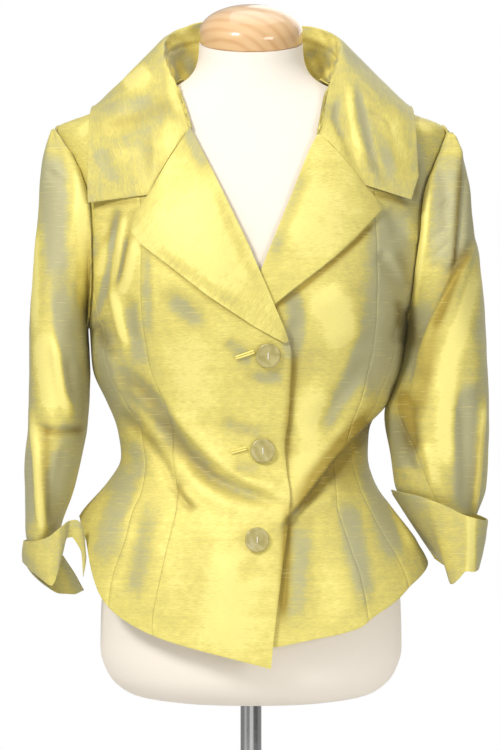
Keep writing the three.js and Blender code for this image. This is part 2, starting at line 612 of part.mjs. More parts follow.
// A body panel: rows rise from the hem to the foot of the armhole, then stand at the given levels.
const lowRows = 14;
function panel({ side, columns, from, to, levels, lift = () => 0 }) {
  const hem = side < 0 ? hemRight : hemLeft;
  const grid = [];
  const normals = [];
  for (let row = 0; row <= lowRows + levels.length; row++) {
    const points = [];
    const outs = [];
    for (let column = 0; column <= columns; column++) {
      const u = column / columns;
      let hemZ = 300;
      for (let pass = 0; pass < 8; pass++) hemZ = hem(mix(from(hemZ), to(hemZ), u)).z;
      const z = row <= lowRows ? mix(hemZ, armholeFoot, row / lowRows) : levels[row - lowRows - 1];
      const turn = mix(from(z), to(z), u);
      const normal = bodyNormal(turn, z);
      const point = bodyPoint(turn, z);
      point.addScaledVector(normal, lift(point.x));
      points.push(point);
      outs.push(normal);
    }
    grid.push(points);
    normals.push(outs);
  }
  return cloth(grid, normals);
}

const shoulderLevels = [826, 834, 839];
const neckLevels = [845, 852, 859];
const frontLevels = [...armholeLevels.slice(0, -1), armholeTop, ...shoulderLevels];
const shapes = {};

for (const side of [-1, 1]) {
  const name = side < 0 ? "right" : "left";
  shapes["front_centre_" + name] = panel({
    side,
    columns: side < 0 ? 8 : 6,
    from: (z) => frontTurn(side, z),
    to: (z) => (z < 840 ? princessTurn(side, z) : side * 90),
    levels: [...frontLevels, ...neckLevels],
    lift: side < 0 ? lapAt : underLapAt,
  });
  shapes["front_side_" + name] = panel({
    side,
    columns: 4,
    from: (z) => princessTurn(side, z),
    to: (z) => outerTurn(side, z, false),
    levels: frontLevels,
  });
  shapes["back_" + name] = panel({
    side,
    columns: 6,
    from: (z) => outerTurn(side, z, true),
    to: () => side * 180,
    levels: [...frontLevels, ...neckLevels, 865],
  });
  // The underarm panel's top follows the armhole from one side seam to the other.
  const columns = armholeSteps - 2 * sideSeamStep;
  shapes["underarm_" + name] = underarm(side, columns);
}

function underarm(side, columns) {
  const hem = side < 0 ? hemRight : hemLeft;
  const grid = [];
  const normals = [];
  for (let row = 0; row <= lowRows; row++) {
    const points = [];
    const outs = [];
    for (let column = 0; column <= columns; column++) {
      const u = column / columns;
      const end = armhole(side, sideSeamStep + column);
      const turnAt = (z) => {
        const seams = sideSeams[side](Math.min(z, armholeFoot));
        return side * mix(seams.front, seams.back, u);
      };
      let hemZ = 360;
      for (let pass = 0; pass < 8; pass++) hemZ = hem(turnAt(hemZ)).z;
      const z = mix(hemZ, end.z, row / lowRows);
      const toEnd = ease((z - 560) / (end.z - 560));
      const turn = mix(turnAt(z), end.turn, toEnd);
      points.push(bodyPoint(turn, z));
      outs.push(bodyNormal(turn, z));
    }
    grid.push(points);
    normals.push(outs);
  }
  return cloth(grid, normals);
}

// A lapel lies on the front, from its roll line out to its free edge.
const lapelColumns = 6;
function lapelGrid(side) {
  const rows = side < 0 ? lapelRightRows : lapelLeftRows;
  const row = along(rows.map((r, at) => ({ at, ...r })), "at");
  const grid = [];
  for (let at = 0; at <= rows.length - 1; at += 0.5) {
    const { rollZ, x, z } = row(at);
    const rollX = edges(rollZ)[side < 0 ? "right" : "left"];
    const steps = Array.from({ length: lapelColumns + 1 }, (_, i) => i / lapelColumns);
    grid.push(steps.map((u) => lapelPoint(side, rollX, rollZ, x, z, u)));
  }
  return grid;
}

// The lapel arches a little between its roll line and its edge, more towards the top.
function lapelPoint(side, rollX, rollZ, x, z, u) {
  const px = mix(rollX, x, u);
  const pz = mix(rollZ, z, u);
  const arch = 4.5 * Math.sin(Math.PI * u) * ease((rollZ - 620) / 130);
  const tuck = side > 0 ? ease((pz - 668) / 40) : 1;
  return frontPoint(px, pz, (side < 0 ? lapAt(px) : 0) + layGap + wall + arch * tuck + 0.8 * u * tuck);
}

function lapel(side) {
  const grid = lapelGrid(side);
  return cloth(grid, gridNormals(grid, side), [false, false]);
}
shapes.lapel_right = lapel(-1);
shapes.lapel_left = lapel(1);

// The collar: stand from the neck seam up to the roll, then the fall out over the shoulders.
const standColumns = 2;
const fallColumns = 8;
const stand = through(collarRows, "at");
const fall = through(fallRows, "at");

function collarSection(side, at) {
  const rows = side < 0 ? lapelRightRows : lapelLeftRows;
  const gorge = rows[rows.length - 1];
  const rollX = edges(gorge.rollZ)[side < 0 ? "right" : "left"];
  const tip = collarEnds[side < 0 ? "right" : "left"];
  const end = {
    seam: frontPoint(rollX - side * 1.6, gorge.rollZ - 1, 0.4),
    roll: lapelPoint(side, rollX, gorge.rollZ, gorge.x, gorge.z, 0),
    mid: lapelPoint(side, rollX, gorge.rollZ, gorge.x, gorge.z, 1),
    edge: new THREE.Vector3(tip.tipX, tip.tipY, tip.tipZ),
    round: 0,
  };
  const last = collarRows.length - 1;
  const s = stand(Math.min(at, last));
  const f = fall(Math.min(at, last));
  const x = (value) => (side < 0 ? value : -value + s.shift);
  const here = {
    seam: new THREE.Vector3(x(s.seamX), s.seamY, s.seamZ),
    roll: new THREE.Vector3(x(s.rollX), s.rollY, s.rollZ),
    mid: new THREE.Vector3(x(f.midX), f.midY, f.midZ),
    edge: new THREE.Vector3(x(f.edgeX), f.edgeY, f.edgeZ),
    round: f.round,
  };
  const t = Math.max(0, at - last);
  for (const key of ["seam", "roll", "mid", "edge"]) here[key].lerp(end[key], t);
  here.round = mix(here.round, end.round, t);
  return here;
}

// The fall keeps clear of the shoulder and chest below it.
function clearOfFront(point) {
  const section = jacket(point.z);
  if (Math.abs(point.x) < (point.x < 0 ? section.right : section.left) && point.z < 862) {
    const under = frontPoint(point.x, point.z, wall + 3 * layGap);
    if (point.y < 0) point.y = Math.min(point.y, under.y);
  }
  return point;
}

function collarRow(side, at) {
  const { seam, roll, mid, edge, round } = collarSection(side, at);
  const points = [];
  for (let i = 0; i < standColumns; i++) points.push(seam.clone().lerp(roll, i / standColumns));
  for (let i = 0; i <= fallColumns; i++) {
    const t = i / fallColumns;
    const straight = t < 0.5 ? roll.clone().lerp(mid, 2 * t) : mid.clone().lerp(edge, 2 * t - 1);
    const bend = mid.clone().multiplyScalar(2).addScaledVector(roll, -0.5).addScaledVector(edge, -0.5);
    const curved = roll.clone().lerp(bend, t).lerp(bend.clone().lerp(edge, t), t);
    const point = straight.lerp(curved, round);
    points.push(at < collarRows.length ? clearOfFront(point) : point);
  }
  return points;
}

function collar() {
  const grid = [];
  const ends = collarRows.length;
  for (let at = -ends; at <= ends; at += 0.5) grid.push(collarRow(at < 0 ? -1 : 1, Math.abs(at)));
  const normals = gridNormals(grid, 1);
  for (const [edge, next] of [[0, 1], [grid.length - 1, grid.length - 2]]) {
    grid[edge].forEach((point, i) => point.add(grid[next][i].clone().sub(point).setLength(seamGap)));
  }
  return cloth(grid, normals, [false, false]);
}
shapes.collar = collar();

// A sleeve: its head curves out of the armhole and down to the first level section, and the rest follows
// the level sections to its end.
const sleeveSections = { "-1": through(sleeveRightRows, "z"), 1: through(sleeveLeftRows, "z") };
const sleeveTop = sleeveRightRows[sleeveRightRows.length - 1].z;

function sleeveFoldAt(side, degrees, z) {
  let sum = 0;
  for (const fold of sleeveFoldRows) {
    if ((fold.side === "right" ? -1 : 1) !== side) continue;
    const t = (z - fold.z1) / (fold.z2 - fold.z1);
    const off = (degrees - mix(fold.turn1, fold.turn2, t)) * 0.9;
    sum += fold.height * ease(t / 0.25) * ease((1 - t) / 0.25 + 0.2) * Math.exp(-((off / fold.width) ** 2));
  }
  return sum;
}

function sleevePoint(side, degrees, z) {
  const { inner, outer, front, back } = sleeveSections[side](z);
  const [cosine, sine] = [Math.cos(degrees * radians), Math.sin(degrees * radians)];
  const point = new THREE.Vector3(
    side * mix(inner, outer, (1 + cosine) / 2),
    mix(back, front, (1 + sine) / 2),
    z,
  );
  const outward = new THREE.Vector3(side * cosine, -sine, 0).normalize();
  return point.addScaledVector(outward, sleeveFoldAt(side, degrees, z));
}

function sleeveHead(side, degrees) {
  const step = (degrees / 360) * armholeSteps;
  const at = armhole(side, step);
  const edge = bodyPoint(at.turn, at.z);
  const normal = bodyNormal(at.turn, at.z);
  const before = armhole(side, step - 0.05);
  const after = armhole(side, step + 0.05);
  const tangent = bodyPoint(after.turn, after.z).sub(bodyPoint(before.turn, before.z)).normalize();
  const across = tangent.cross(normal).normalize().multiplyScalar(side);
  const start = edge.addScaledVector(across, seamGap);
  const finish = sleevePoint(side, degrees, sleeveTop);
  const length = start.distanceTo(finish);
  const outward = sleeveCap.outward * (1 - Math.max(0, normal.z));
  const leave = normal.clone().multiplyScalar(outward).addScaledVector(across, sleeveCap.along).normalize();
  const first = start.clone().addScaledVector(leave, Math.min(0.4 * length, sleeveCap.reach));
  const rise = Math.min(0.5 * length, sleeveCap.fall);
  const second = finish.clone().add(new THREE.Vector3(0, 0, rise));
  return { curve: new THREE.CubicBezierCurve3(start, first, second, finish), normal };
}

function sleeveEnds(side) {
  return (side < 0 ? sleeveRightRows : sleeveLeftRows)[0].z;
}

// The sleeve as rows of points from the armhole down, with one column at each of the given steps.
function sleevePiece(side, firstStep, lastStep) {
  const columns = lastStep - firstStep;
  const degrees = Array.from({ length: columns + 1 }, (_, i) => ((firstStep + i) / armholeSteps) * 360);
  const heads = degrees.map((d) => sleeveHead(side, d));
  const grid = [];
  for (let row = 0; row < headRows; row++) grid.push(heads.map(({ curve }) => curve.getPoint(row / headRows)));
  for (let row = 0; row <= tubeRows; row++) {
    const z = mix(sleeveTop, sleeveEnds(side), row / tubeRows);
    grid.push(degrees.map((d) => sleevePoint(side, d, z)));
  }
  const normals = sleeveNormals(side, degrees, heads, grid.length);
  return cloth(grid, normals);
}

// Normals from the surface itself, so that both pieces of a sleeve agree along their seams.
function sleeveNormals(side, degrees, heads, count) {
  const spread = 4;
  return Array.from({ length: count }, (_, row) =>
    degrees.map((d, column) => {
      if (row === 0) return heads[column].normal.clone();
      if (row < headRows) {
        const before = sleeveHead(side, d - spread).curve.getPoint(row / headRows);
        const after = sleeveHead(side, d + spread).curve.getPoint(row / headRows);
        const down = heads[column].curve.getTangent(row / headRows);
        return after.sub(before).cross(down).normalize().multiplyScalar(side);
      }
      const z = mix(sleeveTop, sleeveEnds(side), (row - headRows) / tubeRows);
      const around = sleevePoint(side, d + spread, z).sub(sleevePoint(side, d - spread, z));
      const lower = Math.max(sleeveEnds(side), z - 4);
      const down = sleevePoint(side, d, lower).sub(sleevePoint(side, d, Math.min(sleeveTop, z + 4)));
      return around.cross(down).normalize().multiplyScalar(side);
    }),
  );
}

for (const side of [-1, 1]) {
  const name = side < 0 ? "right" : "left";
  shapes["sleeve_upper_" + name] = sleevePiece(side, sleeveSeams.back - armholeSteps, sleeveSeams.front);
  shapes["sleeve_under_" + name] = sleevePiece(side, sleeveSeams.front, sleeveSeams.back);
}

// A cuff turned back round the end of its sleeve, split where its two tips hang.
function cuff(rows, sign) {
  const edge = through(rows, "at");
  const grid = [];
  for (let i = 0; i <= cuffSteps; i++) {
    const t = i / cuffSteps;
    const row = [];
    for (let at = 0; at <= rows.length - 1; at++) {
      const { lowX, lowY, lowZ, topX, topY, topZ } = edge(at);
      row.push(new THREE.Vector3(mix(lowX, topX, t), mix(lowY, topY, t), mix(lowZ, topZ, t)));
    }
    grid.push(row);
  }
  return cloth(grid, gridNormals(grid, sign), [false, false]);
}
shapes.cuff_right = cuff(cuffRightRows, 1);
shapes.cuff_left = cuff(cuffLeftRows, -1);

// A profile turned on the Y axis.
const turned = (profile, sides) =>
  new THREE.LatheGeometry(profile.map(([x, y]) => new THREE.Vector2(x, y)), sides);

// A strip of cloth on the right front, about its own middle, for a buttonhole's lips.
function lips({ x, z, length, high, slope }) {
  const [cosine, sine] = [Math.cos(slope * radians), Math.sin(slope * radians)];
  const grid = [];
  for (const up of [-0.5, 0, 0.5]) {
    const row = [];
    for (const over of [-0.5, -0.25, 0, 0.25, 0.5]) {
      const px = x + over * length * cosine - up * high * sine;
      const pz = z + over * length * sine + up * high * cosine;
      row.push(frontPoint(px, pz, lapAt(px) + seamGap + 2.6 - 2 * up * up));
    }
    grid.push(row);
  }
  return cloth(grid, gridNormals(grid, 1), [false, false], 0.8);
}

// The dress form: level sections up to the slanted top of the neck.
function torso() {
  const sides = 30;
  const section = through(formRows, "z");
  const rings = formLevels.map((z) => {
    const { half, front, back, taper, tilt } = section(z);
    return Array.from({ length: sides }, (_, i) => {
      const point = sectionPoint({ right: half, left: half, front, back, taper }, (i / sides) * 360, z);
      const outward = new THREE.Vector3(point.x / 190, point.y / 110, 0).normalize();
      if (point.y < 0) point.addScaledVector(outward, bustAt(point.x, z) * ease(-point.y / 30));
      point.z += tilt * point.y;
      return point;
    });
  });
  return loft(rings);
}

function neckCap() {
  const dome = [[0, 0], [capRadius - 1.5, 0], [capRadius, 2]];
  const rings = 7;
  for (let i = 0; i < rings; i++) {
    const turn = (i / rings) * (Math.PI / 2);
    dome.push([capRadius * Math.cos(turn), capStraight + (capHigh - capStraight) * Math.sin(turn)]);
  }
  dome.push([0, capHigh]);
  return turned(dome, 28);
}

const part = new THREE.Group();

function add(name, geometry, look, place = {}) {
  const mesh = new THREE.Mesh(geometry, new THREE.MeshStandardMaterial(look));
  mesh.name = name;
  if (place.position) mesh.position.copy(place.position);
  if (place.rotation) mesh.rotation.copy(place.rotation);
  if (place.quaternion) mesh.quaternion.copy(place.quaternion);
  part.add(mesh);
  return mesh;
}

for (const [name, geometry] of Object.entries(shapes)) {
  add(name, geometry, name.startsWith("sleeve_under") || name.startsWith("underarm") ? silkShade : silk);
}

const lieFlat = new THREE.Euler(Math.PI / 2, 0, 0); // a turned shape's axis from +Y to +Z
add("form_torso", torso(), jersey);
add("neck_cap", neckCap(), wood, {
  position: new THREE.Vector3(0, 0, neckTop.z + seamGap * 1.1),
  rotation: new THREE.Euler(Math.PI / 2 + Math.atan(neckTop.tilt), 0, 0),
});
const poleLength = formRows[0].z - footTop - 2 * seamGap;
add("pole", new THREE.CylinderGeometry(poleRadius, poleRadius, poleLength, 32), chrome, {
  position: new THREE.Vector3(0, 0, footTop + seamGap + poleLength / 2),
  rotation: lieFlat,
});
add("base", turned(footProfile, 40), chrome, { rotation: lieFlat });

buttonRows.forEach(({ x, z, lean, swing }, i) => {
  const seat = frontPoint(x, z, lapAt(x) + 1.5);
  const out = frontPoint(x, z, lapAt(x) + 2.5).sub(seat).normalize();
  out.applyAxisAngle(new THREE.Vector3(1, 0, 0), lean * radians);
  out.applyAxisAngle(new THREE.Vector3(0, 0, 1), swing * radians);
  const across = out.clone().cross(new THREE.Vector3(0, 0, 1)).normalize();
  const basis = new THREE.Matrix4().makeBasis(across, out, across.clone().cross(out));
  const quaternion = new THREE.Quaternion().setFromRotationMatrix(basis);
  const raised = Math.max(0, Math.sin(Math.hypot(lean, swing) * radians) * buttonRadius * 0.82 - 0.9);
  const position = seat.clone().addScaledVector(out, raised);
  add("button_" + (i + 1), turned(buttonProfile, 20), shell, { position, quaternion });
  const bar = new THREE.BoxGeometry(stitch.wide, stitch.thick, stitch.long);
  const barAt = position.clone().addScaledVector(out, stitch.above);
  add("button_thread_" + (i + 1), bar, thread, { position: barAt, quaternion });
});
buttonholeRows.forEach((row, i) => add("buttonhole_" + (i + 1), lips(row), silk));

export default part;
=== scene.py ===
# A short fitted blazer in shot dupioni silk, on a limbless dress form with a wooden neck cap.
# Lengths in the tables are millimetres. -Y is the front, -X the wearer's right.
import math
import bpy
import bmesh
import numpy as np
from mathutils import Matrix, Vector


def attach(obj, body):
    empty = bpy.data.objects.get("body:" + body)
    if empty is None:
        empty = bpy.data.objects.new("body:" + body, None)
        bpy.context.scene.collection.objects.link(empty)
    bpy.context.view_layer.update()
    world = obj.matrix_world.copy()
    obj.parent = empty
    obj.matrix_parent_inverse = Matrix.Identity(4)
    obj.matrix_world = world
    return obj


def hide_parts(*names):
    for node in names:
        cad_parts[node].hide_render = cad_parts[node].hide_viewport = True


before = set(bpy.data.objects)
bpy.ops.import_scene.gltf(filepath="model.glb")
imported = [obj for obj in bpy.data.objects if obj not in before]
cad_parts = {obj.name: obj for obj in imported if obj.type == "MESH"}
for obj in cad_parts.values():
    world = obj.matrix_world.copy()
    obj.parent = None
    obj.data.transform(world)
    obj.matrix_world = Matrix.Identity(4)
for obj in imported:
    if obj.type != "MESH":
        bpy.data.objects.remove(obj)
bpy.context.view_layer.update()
mm = 0.001
sideNames = {-1: "right", 1: "left"}  # the wearer's
creaseShape = {"reach": 3, "fade": 0.3, "startsAt": 0.25, "crease": 2, "patch": 3}
waves = {"count": 7, "turn": 2.399, "seedTurn": 1.7, "shortest": 0.7, "longer": 0.23, "shift": 1.3}
seamShape = {
    "depth": 0.28, "wide": 1.2, "gap": 0.08, "pucker": 0.11, "puckerAt": 3, "puckerWide": 5,
    "ripple": 3.1, "wander": 17, "wanderBy": 1.9, "second": 5.3, "secondBy": 0.8,
}
cloth = {"wall": 1.4, "bevel": 0.15, "bevelSegments": 2, "bevelAngle": 50}
pieces = {}  # name: (object, width, length, area) of every sheet
knownPaths = {}


def ease(t):
    t = np.clip(t, 0.0, 1.0)
    return t * t * (3 - 2 * t)


def mix(a, b, t):
    return a + (b - a) * t


def unit(v):
    return v / np.maximum(np.linalg.norm(v, axis=-1, keepdims=True), 1e-9)


def curveThrough(table, key, soft=0):
    # every column as a smooth function of the key column, without overshoot; soft rounds its corners
    at = np.array(table[key], float)
    step = np.diff(at)
    columns = {}
    for name, values in table.items():
        if name == key:
            continue
        v = np.array(values, float)
        rise = np.diff(v) / step
        before = np.concatenate([rise[:1], rise])
        after = np.concatenate([rise, rise[-1:]])
        both = before * after
        slope = np.where(both > 0, 2 * both / np.where(both > 0, before + after, 1), 0)
        columns[name] = (v, slope)

    def hermite(where, name):
        v, slope = columns[name]
        i = np.clip(np.searchsorted(at, where, side="right") - 1, 0, len(step) - 1)
        t = np.clip((where - at[i]) / step[i], 0, 1)
        t2, t3 = t * t, t * t * t
        return (v[i] * (2 * t3 - 3 * t2 + 1) + slope[i] * step[i] * (t3 - 2 * t2 + t)
                + v[i + 1] * (3 * t2 - 2 * t3) + slope[i + 1] * step[i] * (t3 - t2))

    if not soft:
        return lambda where: {name: hermite(np.asarray(where, float), name) for name in columns}
    fine = np.arange(at[0], at[-1] + 0.5, 1.0)
    reach = np.arange(-3 * soft, 3 * soft + 1)
    weight = np.exp(-0.5 * (reach / soft) ** 2)
    weight /= weight.sum()
    eased = {}
    for name in columns:
        v = hermite(fine, name)
        head = 2 * v[0] - v[1:3 * soft + 1][::-1]
        tail = 2 * v[-1] - v[-3 * soft - 1:-1][::-1]
        eased[name] = np.convolve(np.concatenate([head, v, tail]), weight, mode="valid")
    return lambda where: {name: np.interp(where, fine, eased[name]) for name in columns}


# A crease table's rows are: half width on its left, half width on its right, height (a trough is below
# zero), then the points it runs through in X and Z, as seen from the front (or from the back).
def creasePath(points):
    if points not in knownPaths:
        p = np.array(points, float)
        if len(p) > 2:
            t = np.concatenate([[0], np.cumsum(np.linalg.norm(np.diff(p, axis=0), axis=1))])
            s = curveThrough({"t": t, "x": p[:, 0], "z": p[:, 1]}, "t")(np.linspace(0, t[-1], 3 * len(p)))
            p = np.stack([s["x"], s["z"]], axis=1)
        knownPaths[points] = p
    return knownPaths[points]


def creaseLift(table, x, z, power=creaseShape["crease"]):
    total = np.zeros(np.shape(x))
    for left, right, height, *points in table:
        path = creasePath(tuple(points))
        wide = creaseShape["reach"] * max(left, right)
        near = ((x > path[:, 0].min() - wide) & (x < path[:, 0].max() + wide)
                & (z > path[:, 1].min() - wide) & (z < path[:, 1].max() + wide))
        if not near.any():
            continue
        px, pz = x[near], z[near]
        best = np.full(px.shape, 1e9)
        off = np.zeros(px.shape)
        where = np.zeros(px.shape)
        lengths = np.linalg.norm(np.diff(path, axis=0), axis=1)
        start = np.concatenate([[0], np.cumsum(lengths)])
        for i, length in enumerate(lengths):
            (ax, az), (bx, bz) = path[i], path[i + 1]
            dx, dz = (bx - ax) / length, (bz - az) / length
            t = np.clip((px - ax) * dx + (pz - az) * dz, 0, length)
            gap = np.hypot(px - ax - t * dx, pz - az - t * dz)
            closer = gap < best
            best = np.where(closer, gap, best)
            side = dx * (pz - az) - dz * (px - ax)
            off = np.where(closer, side, off)
            where = np.where(closer, (start[i] + t) / start[-1], where)
        fade, first = creaseShape["fade"], creaseShape["startsAt"]
        ends = ease(where / fade + first) * ease((1 - where) / fade + first)
        width = np.where(off > 0, left, right)
        total[near] += height * ends * np.exp(-(best / width) ** power)
    return total


def shade(table, x, z):
    # a patch with a level middle and a quicker edge than a crease
    return creaseLift(table, x, z, creaseShape["patch"])


def crumple(x, z, size, seed):
    # a low uneven waviness of crisp cloth
    total = np.zeros(np.shape(x))
    for i in range(waves["count"]):
        turn = seed * waves["seedTurn"] + i * waves["turn"]
        length = size * (waves["shortest"] + waves["longer"] * ((i * 5 + seed) % waves["count"]))
        across = x * math.cos(turn) + z * math.sin(turn)
        total += np.sin(across * 2 * math.pi / length + i * waves["shift"] + seed)
    return total / waves["count"]


def arcs(points, axis):
    steps = np.linalg.norm(np.diff(points, axis=axis), axis=-1)
    start = np.zeros_like(np.take(steps, [0], axis=axis))
    return np.concatenate([start, np.cumsum(steps, axis=axis)], axis=axis)


def gridNormals(points, outward):
    across = np.gradient(points, axis=1)
    up = np.gradient(points, axis=0)
    normals = unit(np.cross(across, up))
    flip = np.sign(np.sum(normals * outward, axis=-1).sum())
    return normals * flip


def seamDip(points, edges, seed, depth=seamShape["depth"]):
    # the valley and the slight puckers beside a seam, on the asked first and last columns
    s = seamShape
    lift = np.zeros(points.shape[:2])
    run, along = arcs(points, 1), arcs(points, 0)
    ripple = (np.sin(along / s["ripple"] + s["wanderBy"] * np.sin(along / s["wander"] + seed))
              + s["secondBy"] * np.sin(along / s["second"] + seed))
    for asked, distance in zip(edges, (run, run[:, -1:] - run)):
        if asked:
            lift -= depth * np.exp(-(distance / s["wide"]) ** 2)
            lift += s["pucker"] * ripple * np.exp(-((distance - s["puckerAt"]) / s["puckerWide"]) ** 2)
    return lift


def drawIn(points):
    # each seamed edge stands a little back from its neighbour
    for edge, inner in ((0, 1), (-1, -2)):
        points[:, edge] += unit(points[:, inner] - points[:, edge]) * seamShape["gap"]
    return points


def meshOf(bm, name):
    mesh = bpy.data.meshes.new(name)
    bm.to_mesh(mesh)
    bm.free()
    return mesh


def objectOf(name, mesh, material, smooth=True):
    mesh.polygons.foreach_set("use_smooth", [smooth] * len(mesh.polygons))
    mesh.materials.append(material)
    piece = bpy.data.objects.new(name, mesh)
    bpy.context.collection.objects.link(piece)
    return piece


def stated(piece, node):
    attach(piece, "root")
    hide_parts(node)


def clothPiece(name, points, outward, cast, wall=cloth["wall"], uvTurn=None):
    # points: rows x columns x 3 on the outer face; the wall is laid inside it; cast: the two shade maps
    # the cross threads run level, or at uvTurn degrees to the grid's rows
    rows, columns = points.shape[:2]
    bm = bmesh.new()
    bm.loops.layers.uv.new("cloth")
    bmesh.ops.create_grid(bm, x_segments=columns - 1, y_segments=rows - 1, size=0.5, calc_uvs=True)
    mesh = meshOf(bm, name)
    co = np.zeros(len(mesh.vertices) * 3)
    mesh.vertices.foreach_get("co", co)
    co = co.reshape(-1, 3)
    column = np.rint((co[:, 0] - co[:, 0].min()) / np.ptp(co[:, 0]) * (columns - 1)).astype(int)
    row = np.rint((co[:, 1] - co[:, 1].min()) / np.ptp(co[:, 1]) * (rows - 1)).astype(int)
    mesh.vertices.foreach_set("co", (points[row, column] * mm).ravel())
    width, length = arcs(points, 1), arcs(points, 0)
    u = width - width[:, -1:] / 2
    v = points[..., 2]
    if uvTurn is not None:
        v = length[:, columns // 2][:, None] + 0 * width
        c, s = math.cos(math.radians(uvTurn)), math.sin(math.radians(uvTurn))
        u, v = u * c - v * s, u * s + v * c
    corner = np.zeros(len(mesh.loops), dtype=int)
    mesh.loops.foreach_get("vertex_index", corner)
    uv = np.stack([u[row, column][corner], v[row, column][corner]], axis=1) * mm
    mesh.uv_layers["cloth"].data.foreach_set("uv", uv.ravel())
    for label, values in zip(("turned", "deep"), cast):
        layer = mesh.attributes.new(label, "FLOAT", "POINT")
        layer.data.foreach_set("value", np.broadcast_to(values, (rows, columns))[row, column].astype(float))
    mesh.update()
    middle = mesh.polygons[len(mesh.polygons) // 2]
    where = int(middle.vertices[0])
    if np.dot(np.array(middle.normal), outward[row[where], column[where]]) < 0:
        mesh.flip_normals()
    piece = objectOf("silk_" + name, mesh, silkCloth)
    solid = piece.modifiers.new("wall", "SOLIDIFY")
    solid.thickness = wall * mm
    solid.offset = -1
    edge = piece.modifiers.new("rolled edge", "BEVEL")
    edge.width = cloth["bevel"] * mm
    edge.segments = cloth["bevelSegments"]
    edge.limit_method = "ANGLE"
    edge.angle_limit = math.radians(cloth["bevelAngle"])
    stated(piece, name)
    first = points[:-1, :-1]
    area = np.linalg.norm(np.cross(points[1:, :-1] - first, points[:-1, 1:] - first), axis=-1).sum()
    pieces[name] = (piece, float(width[:, -1].max()) * mm, float(length[-1].max()) * mm, float(area) * mm * mm)


class Wire:
    # a socket that can be used in sums
    def __init__(self, paint, socket):
        self.paint, self.socket = paint, socket

    def math(self, operation, a, b=0.0, clamp=False):
        return self.paint.add("ShaderNodeMath", {"operation": operation, "use_clamp": clamp}, {0: a, 1: b})

    def __add__(self, other):
        return self.math("ADD", self, other)

    def __radd__(self, other):
        return self.math("ADD", other, self)

    def __sub__(self, other):
        return self.math("SUBTRACT", self, other)

    def __rsub__(self, other):
        return self.math("SUBTRACT", other, self)

    def __mul__(self, other):
        return self.math("MULTIPLY", self, other)

    def __rmul__(self, other):
        return self.math("MULTIPLY", other, self)

    def __truediv__(self, other):
        return self.math("DIVIDE", self, other)

    def __pow__(self, other):
        return self.math("POWER", self, other)

    def held(self):
        return self.math("ADD", self, 0.0, True)


class Paint:
    def __init__(self, name, owner=None):
        self.material = owner or bpy.data.materials.new(name)
        self.material.use_nodes = True
        self.tree = self.material.node_tree
        self.tree.nodes.clear()

    def node(self, kind, settings=None, sockets=None):
        made = self.tree.nodes.new(kind)
        for key, value in (settings or {}).items():
            if key == "stops":
                ramp = made.color_ramp
                while len(ramp.elements) < len(value):
                    ramp.elements.new(0.5)
                for element, (position, colour) in zip(ramp.elements, value):
                    element.position = position
                    element.color = colour if len(colour) == 4 else (*colour, 1)
            else:
                setattr(made, key, value)
        for key, value in (sockets or {}).items():
            if isinstance(value, Wire):
                self.tree.links.new(value.socket, made.inputs[key])
            else:
                made.inputs[key].default_value = value
        return made

    def add(self, kind, settings=None, sockets=None, output=0):
        return Wire(self, self.node(kind, settings, sockets).outputs[output])

    def blend(self, factor, a, b, how="MIX"):
        return self.add("ShaderNodeMix", {"data_type": "RGBA", "blend_type": how}, {0: factor, 6: a, 7: b}, 2)

    def noise(self, vector, scale, detail=2.0, rough=0.5):
        sockets = {"Vector": vector, "Scale": scale, "Detail": detail, "Roughness": rough}
        return self.add("ShaderNodeTexNoise", {}, sockets)

    def ramp(self, value, *stops):
        return self.colours(value, *[(at, (grey, grey, grey)) for at, grey in stops])

    def colours(self, value, *stops):
        return self.add("ShaderNodeValToRGB", {"stops": stops}, {0: value})

    def place(self):
        return self.add("ShaderNodeTexCoord", {}, {}, 3)

    def stretch(self, vector, scale):
        return self.add("ShaderNodeMapping", {}, {"Vector": vector, "Scale": scale})

    def finish(self, sockets, bump=None):
        if bump:
            height, strength, distance = bump
            relief = {"Height": height, "Strength": strength, "Distance": distance}
            sockets["Normal"] = self.add("ShaderNodeBump", {}, relief)
        shader = self.add("ShaderNodeBsdfPrincipled", {}, sockets)
        self.node("ShaderNodeOutputMaterial", {}, {"Surface": shader})
        return self.material


# the shot silk's colours: bright is painted light on the yellow, shadow is painted shade
silkLook = {
    "bright": (0.945, 0.835, 0.265),
    "yellow": (0.81, 0.70, 0.190),
    "olive": (0.675, 0.585, 0.170),
    "grey": (0.555, 0.51, 0.225),
    "lavender": (0.485, 0.46, 0.26),
    "shadow": (0.46, 0.365, 0.165, 1),
    "thinThread": (0.50, 0.42, 0.13, 1),
    "slubThread": (0.93, 0.82, 0.33, 1),
    "crossThread": (0.50, 0.46, 0.26, 1),
    "metal": 0.17, "rough": 0.56,
    "towards": (-0.22, -0.93, 0.28), "edgeOn": 0.95,
    "facing": 0.55, "turned": 0.72, "cloud": 0.60, "small": 0.50, "thin": 0.80, "band": 0.35, "base": 0.275,
}


